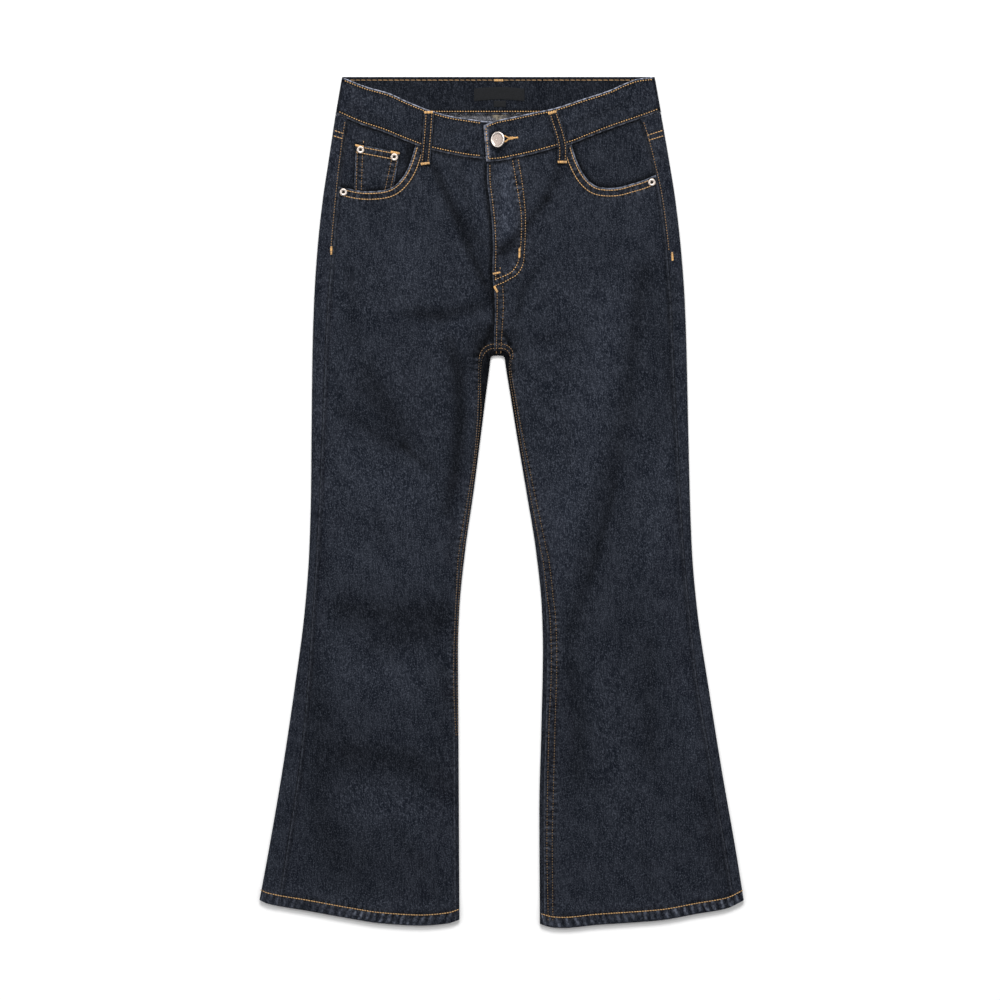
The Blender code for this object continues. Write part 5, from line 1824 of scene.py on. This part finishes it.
def sew_front():
    beads = Stitches(11)
    for side in SIDES:
        for row, kind in fronts[side][1]:
            beads.row(*on_surface(row, partial(sewn_height, side)), kind)
        for which in ("near", "far"):
            path, normals = on_fold(side, which)
            # Painted shade: the stretch of each inseam row in the crotch's shadow is sewn in nearly
            # black thread.
            dark = (path[:, 1] > CROTCH + 1.0) & (path[:, 1] < CROTCH_DARK[side][0] - 2.0)
            last = np.nonzero(dark)[0][-1]
            first = last - dark.sum() + 2
            beads.row(path[:first], normals[:first], "dull")
            beads.row(path[dark], normals[dark], "shade")
            beads.row(path[last:], normals[last:], "dim")
    for row in RISE_ROWS:
        end = resample([row[-1], (row[-1][0], CROTCH - 1.2)], 1.5)
        beads.row(*on_surface(end, partial(front_top, LEFT)), "dull")
    for row, kind in coin_rows:
        beads.row(*on_surface(row, coin_top), kind)
    return beads.build("stitches_front")


def sew_outseams():
    beads = Stitches(12)
    for side in SIDES:
        downs = np.linspace(OUTER[side].keys[0] + 6.0, 204.0, 80)
        row = beside(outer_stations(side, downs), -2.2)
        beads.row(*on_surface(row, partial(front_top, side)), "seam")
        for d in YOKE_ROWS:
            place, inward, seam = outer_stations(side, [YOKE_SIDE + d])
            line = place + inward * np.linspace(1.6, float(seam[0]) - 1.5, 12)[:, None]
            beads.row(*on_surface(line, partial(front_top, side)), "gold")
    return beads.build("stitches_outseam")


sew_front()
sew_outseams()

# %% [markdown]
# The waistband has a row under its fold and one above its lower edge. Inside the back half the
# upper row shows as a chain of longer loops, because that is the machine's under thread.

# %% Waistband stitches
BAND_END_HEIGHT = 8.8


def band_row(side, from_top, from_low):
    """A row along a front half of the band, at a distance from its top or lower edge."""
    top, low, outer = band_lines(side)
    span = low - top
    length = np.linalg.norm(span, axis=1)
    share = (from_top / length) if from_low is None else 1.0 - from_low / length
    line = top + span * share[:, None]
    if side == RIGHT:
        keep = line[:, 0] < -19.8
        line, outer = line[keep], outer[keep]
    path = np.column_stack([line, outer - 0.2])
    return path, np.tile(UP, (len(path), 1))


def sew_band():
    beads = Stitches(13)
    for side in SIDES:
        for from_top, from_low in ((TOP_ROW, None), (None, LOW_ROW)):
            path, normals = band_row(side, from_top, from_low)
            beads.row(path[1:], normals[1:], "dotted")
    x = np.linspace(-186.0, 178.0, 120)
    for down, kind in ((4.0, "chain"), (BACK_BAND_LOW - LOW_ROW, "dotted")):
        for height, up, sewn in ((BAND_LIFT + BAND_CLOTH, UP, kind), (BAND_LIFT, -UP, "dotted")):
            path = np.column_stack([x, np.full(len(x), down), np.full(len(x), height)])
            beads.row(path, np.tile(up, (len(x), 1)), sewn, 0.05)
    end = resample([(-18.6, 60.5), (-15.4, 97.0)], 2.0)
    beads.row(*on_surface(end, lambda x, down: np.full(len(x), BAND_END_HEIGHT)), "dotted")
    return beads.build("stitches_waistband")


sew_band()

# %% [markdown]
# The hidden back is sewn too, because the part can be turned over: yoke and seat seams, hems,
# pockets and the edges of the belt loops. Its threads point down, towards the surface.

# %% Back and loop stitches
def below(x, down):
    return back_low(down)


def ground(x, down):
    return np.zeros(len(x))


def sew_back():
    beads = Stitches(14)
    for side in SIDES:
        edge = float(OUTER[side].at("edge", YOKE_SIDE))
        x = np.linspace(middle_seam(side), edge - side * 3.0, 60)
        for d in YOKE_ROWS:
            row = line_of(x, yoke_seam(side, x) + d)
            beads.row(*on_surface(row, below, -1.0))
        beads.row(*on_surface(hem_row(side, 3.0, 3.0, 90), below, -1.0))
        for row in back_pockets[side][1]:
            beads.row(*on_surface(row, ground, -1.0))
    for d in SEAT_ROWS:
        x = middle_seam(LEFT) + d
        row = resample([(x, YOKE_CENTRE + 1.0), (x, CROTCH - 6.0)], 3.0)
        beads.row(*on_surface(row, below, -1.0))
    return beads.build("stitches_back")


def sew_loops():
    beads = Stitches(15)
    for side in SIDES:
        line, height = front_loop_line(side)
        for d in (-LOOP_ROW, LOOP_ROW):
            path = np.column_stack([shifted(line, d), height + CLOTH])
            beads.row(path, np.tile(UP, (len(path), 1)), "loop")
    for x in BACK_LOOPS.values():
        for d in (-LOOP_ROW, LOOP_ROW):
            line = resample([(x + d, LOOP_TOP), (x + d, LOOP_LOW)], 2.0)
            beads.row(*on_surface(line, ground, -1.0), "dotted")
    return beads.build("stitches_loops")


sew_back()
sew_loops()

# %% [markdown]
# ## Bar tacks
# Where a seam takes strain, the machine sews a bar tack: some twenty stitches packed side by
# side. A table says where each one sits and which layer of cloth carries it.

# %% Bar tacks
BAR_TACKS = [
    # x, down, direction in degrees, length, width, what it is sewn on
    (-86.3, 42.3, -4, 10, 3.2, "loop_right_top"),
    (-90.3, 102.6, -8, 10.5, 3.2, "loop_right_low"),
    (59.8, 42.6, -14, 10, 3.2, "loop_left_top"),
    (71.6, 100.8, 0, 10.5, 3.2, "loop_left_low"),
    (-167.8, 81.8, 11, 10, 2.6, "coin"),
    (-125.6, 89.6, 11, 10.5, 2.6, "coin"),
    (21, 208, 92, 12, 2.6, "fly"),
    (-5.8, 231.8, -12, 9, 2.4, "fly"),
    (-6.9, 250.8, 62, 8, 2.8, "fly"),
    (-201, 205, 90, 9.5, 2.6, "seam_right"),
    (201.4, 212, 86, 10, 2.6, "seam_left"),
]
THREAD_ENDS = [(-163.1, 75.8, "coin"), (-121.2, 69.9, "coin"), (-1.9, 224.6, "fly")]
TACK_STEP, TACK_RADIUS = 0.62, 0.42


def tack_height(surface, x, down):
    """Height of the cloth under a bar tack."""
    if surface.startswith("loop"):
        side = RIGHT if "right" in surface else LEFT
        _, height = front_loop_line(side)
        return float(height[0 if "top" in surface else -1]) + CLOTH
    if surface == "coin":
        return float(coin_top(x, down))
    if surface == "fly":
        return float(front_outer(LEFT, x, down))
    return float(front_top(RIGHT if "right" in surface else LEFT, x, down))


def bar_axes(degrees):
    """Directions along and across a bar."""
    turn = math.radians(degrees)
    along = np.array([math.cos(turn), math.sin(turn), 0.0])
    return along, np.array([-math.sin(turn), math.cos(turn), 0.0])


def bar_tack(beads, x, down, height, degrees, length, width):
    """Short beads across a bar, packed along it."""
    along, across = bar_axes(degrees)
    count = int(length / TACK_STEP)
    for i in range(count):
        middle = np.array([x, down, height]) + along * length * ((i + 0.5) / count - 0.5)
        half = across * (0.5 * width * beads.draw.uniform(0.88, 1.1)) + along * 0.22
        beads.add(middle - half, middle + half, UP, TACK_RADIUS, 0.34, beads.draw.uniform(0.6, 1.0))


def sew_tacks():
    beads = Stitches(16)
    for x, down, degrees, length, width, surface in BAR_TACKS:
        bar_tack(beads, x, down, tack_height(surface, x, down), degrees, length, width)
    for x in BACK_LOOPS.values():
        for down in (LOOP_TOP + 1.8, LOOP_LOW - 1.8):
            bar_tack(beads, x, down, -0.05, 0.0, 10.0, 3.0)
    bar_tack(beads, -3.7, 4.2, BAND_LIFT + BAND_CLOTH, 0.0, 10.6, 2.6)
    for x, down, surface in THREAD_ENDS:
        height = tack_height(surface, x, down)
        beads.add((x, down, height), (x + 0.3, down + 2.8, height), UP, 0.4, 0.2, 0.7)
    return beads.build("bar_tacks")


sew_tacks()

# %% [markdown]
# The buttonhole is a keyhole: two edges of short beads that stand apart at the eye, where the
# button's neck sits, and run together towards a bar tack at the tail.

# %% Buttonhole
BUTTONHOLE = np.array([3.4, 73.6, 8.72])
BUTTONHOLE_LENGTH = 16.0
BUTTONHOLE_DEGREES = -6.0
EDGE_BEADS = 15


def sew_buttonhole():
    beads = Stitches(17)
    along, across = bar_axes(BUTTONHOLE_DEGREES)
    for sign in (-1.0, 1.0):
        for t in np.linspace(0.0, 1.0, EDGE_BEADS):
            spread = 2.6 * (1.0 - ease(t, 0.0, 0.55)) + 0.75
            middle = BUTTONHOLE + along * (BUTTONHOLE_LENGTH * 0.62 * t) + across * sign * spread
            half = across * 1.05 + along * 0.12
            tone = beads.draw.uniform(0.6, 1.0)
            beads.add(middle - half, middle + half, UP, TACK_RADIUS, 0.35, tone)
    tail = BUTTONHOLE + along * (BUTTONHOLE_LENGTH * 0.82)
    bar_tack(beads, *tail, BUTTONHOLE_DEGREES, 6.0, 2.2)
    return beads.build("buttonhole_thread")


sew_buttonhole()

# %% [markdown]
# ## Metal
# The button and the rivets are nickel, tarnished a little: polished on the rim and matte on the
# pressed face. A rivet's dimple is painted almost black inside, as painted shadow. Fine and wide
# noise mix two tones of each.

# %% Nickel materials
def make_metal(name, colour, roughness, speckle):
    made, tree, shader = new_material(name, roughness, 1.0)
    place = tree.nodes.new("ShaderNodeTexCoord").outputs["Object"]
    fine = noise_node(tree, place, 2600.0, 2.0, 0.6)
    wide = noise_node(tree, place, 300.0, 3.0, 0.6)
    dark = tuple(0.72 * c for c in colour[:3]) + (1.0,)
    grain, tarnish = (math_node(tree, "MULTIPLY", *pair) for pair in ((fine, speckle), (wide, 0.6)))
    factor = math_node(tree, "ADD", grain, tarnish, clamp=True)
    link(tree, mix_colour(tree, factor, dark, colour), shader.inputs["Base Color"])
    gloss = map_range(tree, wide, 0.3, 0.7, roughness - 0.08, roughness + 0.12)
    link(tree, gloss, shader.inputs["Roughness"])
    bump(tree, shader, fine, 0.35, 0.0001)
    return made


nickel_rim = make_metal("nickel_polished", (0.92, 0.82, 0.75, 1.0), 0.34, 0.4)
nickel_face = make_metal("nickel_matte", (0.56, 0.47, 0.42, 1.0), 0.5, 0.9)
rivet_nickel = make_metal("nickel_rivet", (0.74, 0.65, 0.58, 1.0), 0.4, 0.6)
# Painted shadow inside the rivet's dimple.
rivet_hole = make_metal("nickel_shadow", (0.03, 0.027, 0.025, 1.0), 0.6, 0.6)
print("metals:", [one.name for one in (nickel_rim, nickel_face, rivet_nickel, rivet_hole)])

# %% [markdown]
# The button is a shank button: a domed rim round a slightly sunk face, loose on its neck so that
# it leans. The rivets are pressed rings with a dimple. Both are turned shapes, so a profile spun
# round its axis gives them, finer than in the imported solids.

# %% Turned shapes
TURN_STEPS = 64
CORNER_STEPS = 4


def turned(name, profile, materials, face_of_ring):
    """A profile of (radius, height) spun round its axis."""
    points, faces, slots = [], [], []
    for i in range(TURN_STEPS):
        turn = 2 * math.pi * i / TURN_STEPS
        for radius, height in profile:
            points.append((radius * math.cos(turn), radius * math.sin(turn), height))
    width = len(profile)
    for i in range(TURN_STEPS):
        for j in range(width - 1):
            a, b = i * width + j, ((i + 1) % TURN_STEPS) * width + j
            faces.append([a, b, b + 1, a + 1])
            slots.append(face_of_ring(j))
    return new_object(name, np.array(points) * MM, faces, materials, slots, 60.0, True)


def rounded(profile):
    """The same profile with its corners rounded off."""
    smooth = [profile[0]]
    for before, here, after in zip(profile, profile[1:], profile[2:]):
        for t in np.linspace(0.0, 1.0, CORNER_STEPS + 1).tolist():
            a = [h + (b - h) * 0.42 * (1 - t) for h, b in zip(here, before)]
            b = [h + (f - h) * 0.42 * t for h, f in zip(here, after)]
            smooth.append(tuple((1 - t) * p + t * q for p, q in zip(a, b)))
    return smooth + [profile[-1]]


print("turned shapes in", TURN_STEPS, "steps")

# %% [markdown]
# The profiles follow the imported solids' sizes. Which part of a profile is rim and which is face
# or dimple decides the finish of each ring of faces.

# %% Button and rivets
BUTTON_STAND = 6.3
BUTTON_LEAN = math.radians(-33.0)
UNDERSIDE_POINTS = 20


def make_button():
    radius = BUTTON_RADIUS
    profile = rounded([
        (0.0, -0.9), (0.55 * radius, -0.9), (radius - 0.6, -0.3), (radius, 0.5),
        (radius - 0.5, 1.35), (0.84 * radius, 1.5), (0.74 * radius, 1.05), (0.70 * radius, 0.62),
        (0.40 * radius, 0.56), (0.0, 0.56),
    ])

    def is_face(j):
        across, height = profile[j]
        return int(height < 0.9 and across < 0.76 * radius and j > UNDERSIDE_POINTS)

    head = turned("button_head", profile, (nickel_rim, nickel_face), is_face)
    seat = float(BAND[LEFT].at("outer", BUTTON_PLACE[0])) + GAP
    x, down = BUTTON_PLACE
    head.location = world((x, down, seat + BUTTON_STAND))
    head.rotation_euler = (0.0, BUTTON_LEAN, 0.0)
    shank = [(0.0, 0.0), (3.8, 0.0), (2.7, 1.2), (2.6, BUTTON_STAND), (0.0, BUTTON_STAND)]
    neck = turned("button_neck", rounded(shank), (nickel_rim,), lambda j: 0)
    neck.location = world((x, down, seat))
    for piece in (head, neck):
        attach(piece, "root")
    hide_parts("button")
    return head


def make_rivet(node):
    low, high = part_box(node)
    radius = 500.0 * (high[0] - low[0])
    profile = rounded([
        (0.0, 0.0), (radius - 0.4, 0.0), (radius, 0.35), (radius - 0.5, 1.15),
        (0.66 * radius, 1.4), (0.44 * radius, 1.0), (0.30 * radius, 0.3), (0.0, 0.2),
    ])

    def is_dimple(j):
        return int(profile[j][0] < 0.36 * radius and profile[j][1] > 0.1)

    piece = turned(node + "_turned", profile, (rivet_nickel, rivet_hole), is_dimple)
    piece.location = (0.5 * (low[0] + high[0]), 0.5 * (low[1] + high[1]), low[2])
    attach(piece, "root")
    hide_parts(node)
    return piece


make_button()
rivets = [make_rivet(node) for node in sorted(frame["nodes"]) if node.startswith("rivet")]
print(len(rivets), "rivets")

# %% [markdown]
# ## Labels
# The woven label inside the back of the waistband and its small tab stay blank. They are thin
# damask tape, nearly black, with the fine rib of a satin weave.

# %% Blank labels
def make_label_material(name, dark, light):
    made, tree, shader = new_material(name, 0.75)
    settings(shader, {"Specular IOR Level": 0.12})
    place = tree.nodes.new("ShaderNodeTexCoord").outputs["Object"]
    rib = tree.nodes.new("ShaderNodeTexWave")
    rib.bands_direction = "Y"
    settings(rib, {"Scale": 520.0, "Distortion": 0.6})
    link(tree, place, rib.inputs["Vector"])
    blotch = noise_node(tree, place, 700.0, 2.0, 0.5)
    wear = map_range(tree, blotch, 0.3, 0.7, 0.4, 1.0)
    factor = math_node(tree, "MULTIPLY", rib.outputs["Fac"], wear)
    link(tree, mix_colour(tree, factor, dark, light), shader.inputs["Base Color"])
    bump(tree, shader, factor, 0.4, 0.0002)
    return made


label_black = make_label_material(
    "label_black", (0.005, 0.0055, 0.006, 1.0), (0.018, 0.019, 0.022, 1.0))


def make_label(node, arch, reach):
    """A thin tape over the solid's place, with rounded edges and a gentle wave."""
    low, high = (np.array(corner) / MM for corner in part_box(node))
    x0, x1 = low[0], high[0]
    top, bottom = 0.5 * LENGTH - high[1] + arch - reach, 0.5 * LENGTH - low[1]
    grid = []
    for t in np.linspace(0.0, 1.0, 40):
        x = x0 + (x1 - x0) * t
        rise = arch * math.sin(math.pi * t)
        wave = 0.12 * math.sin(9.0 * t) * (1.0 - 0.5 * t)
        column = []
        for s in np.linspace(0.0, 1.0, 12):
            down = top + (bottom - top) * s - rise
            edge = min(min(s, 1 - s) * (bottom - top), min(t, 1 - t) * (x1 - x0))
            height = low[2] + 0.55 + wave - 0.25 * (1.0 - ease(edge, 0.0, 1.2))
            column.append((x, down, height))
        grid.append(column)
    outer = np.array(grid)
    inner = outer - (0.0, 0.0, 0.4)
    sheet = lofted(outer, inner, np.zeros(outer.shape[:2]))
    piece = cloth(node + "_tape", [sheet], (label_black, label_black, label_black))
    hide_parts(node)
    return piece


labels = [make_label("label", 2.0, 0.0), make_label("size_tab", 0.0, 1.6)]

# %% [markdown]
# ## Floor, light and camera
# The floor is plain and almost white. Broad soft lights from both sides and above keep the dark
# cloth readable without hard shadows. The camera hangs straight over the middle with a long
# lens, so that the outline isn't widened by perspective.

# %% Stage
PIXEL = 1.18
IMAGE_MIDDLE = (-1.95, 2.8)
CAMERA_HEIGHT = 6.0
FLOOR_HALF, FLOOR_HEIGHT = 4.0, -0.0004


def make_floor():
    mesh = bpy.data.meshes.new("floor")
    corners = [(-1, -1), (1, -1), (1, 1), (-1, 1)]
    mesh.from_pydata([(FLOOR_HALF * x, FLOOR_HALF * y, FLOOR_HEIGHT) for x, y in corners],
                     [], [(0, 1, 2, 3)])
    floor = add_object("floor", mesh)
    made, tree, shader = new_material("floor_paint", 0.9)
    place = tree.nodes.new("ShaderNodeTexCoord").outputs["Object"]
    cloud = noise_node(tree, place, 3.0, 2.0, 0.5)
    paint = mix_colour(tree, cloud, (0.93, 0.93, 0.93, 1.0), (0.95, 0.95, 0.95, 1.0))
    link(tree, paint, shader.inputs["Base Color"])
    mesh.materials.append(made)
    return floor


def add_light(name, place, target, size, power):
    data = bpy.data.lights.new(name, "AREA")
    data.shape = "RECTANGLE"
    data.size, data.size_y = size
    data.energy = power
    light = add_object(name, data)
    light.location = place
    light.rotation_euler = (Vector(target) - Vector(place)).to_track_quat("-Z", "Y").to_euler()


make_floor()
add_light("softbox_top", (0.0, 3.0, 2.6), (0.0, 0.1, 0.0), (2.6, 1.3), 150.0)
add_light("softbox_left", (-2.4, 0.8, 2.2), (0.0, 0.0, 0.0), (1.4, 1.8), 30.0)
add_light("softbox_right", (2.4, 0.4, 2.4), (0.0, 0.0, 0.0), (1.4, 1.8), 22.0)
world_light = bpy.data.worlds.new("studio")
world_light.use_nodes = True
background = world_light.node_tree.nodes["Background"]
settings(background, {"Color": (1.0, 1.0, 1.0, 1.0), "Strength": 0.42})
bpy.context.scene.world = world_light
bpy.context.scene.view_settings.view_transform = "Standard"

camera_data = bpy.data.cameras.new("camera")
camera_data.sensor_width = 36.0
camera_data.lens = CAMERA_HEIGHT * 36.0 / PIXEL
camera_data.clip_end = 50.0
camera = add_object("camera", camera_data)
camera.location = (IMAGE_MIDDLE[0] * MM, IMAGE_MIDDLE[1] * MM, CAMERA_HEIGHT + 0.004)
bpy.context.scene.camera = camera
print("camera", round(camera.location.z, 3), "m up, lens", round(camera_data.lens), "mm")
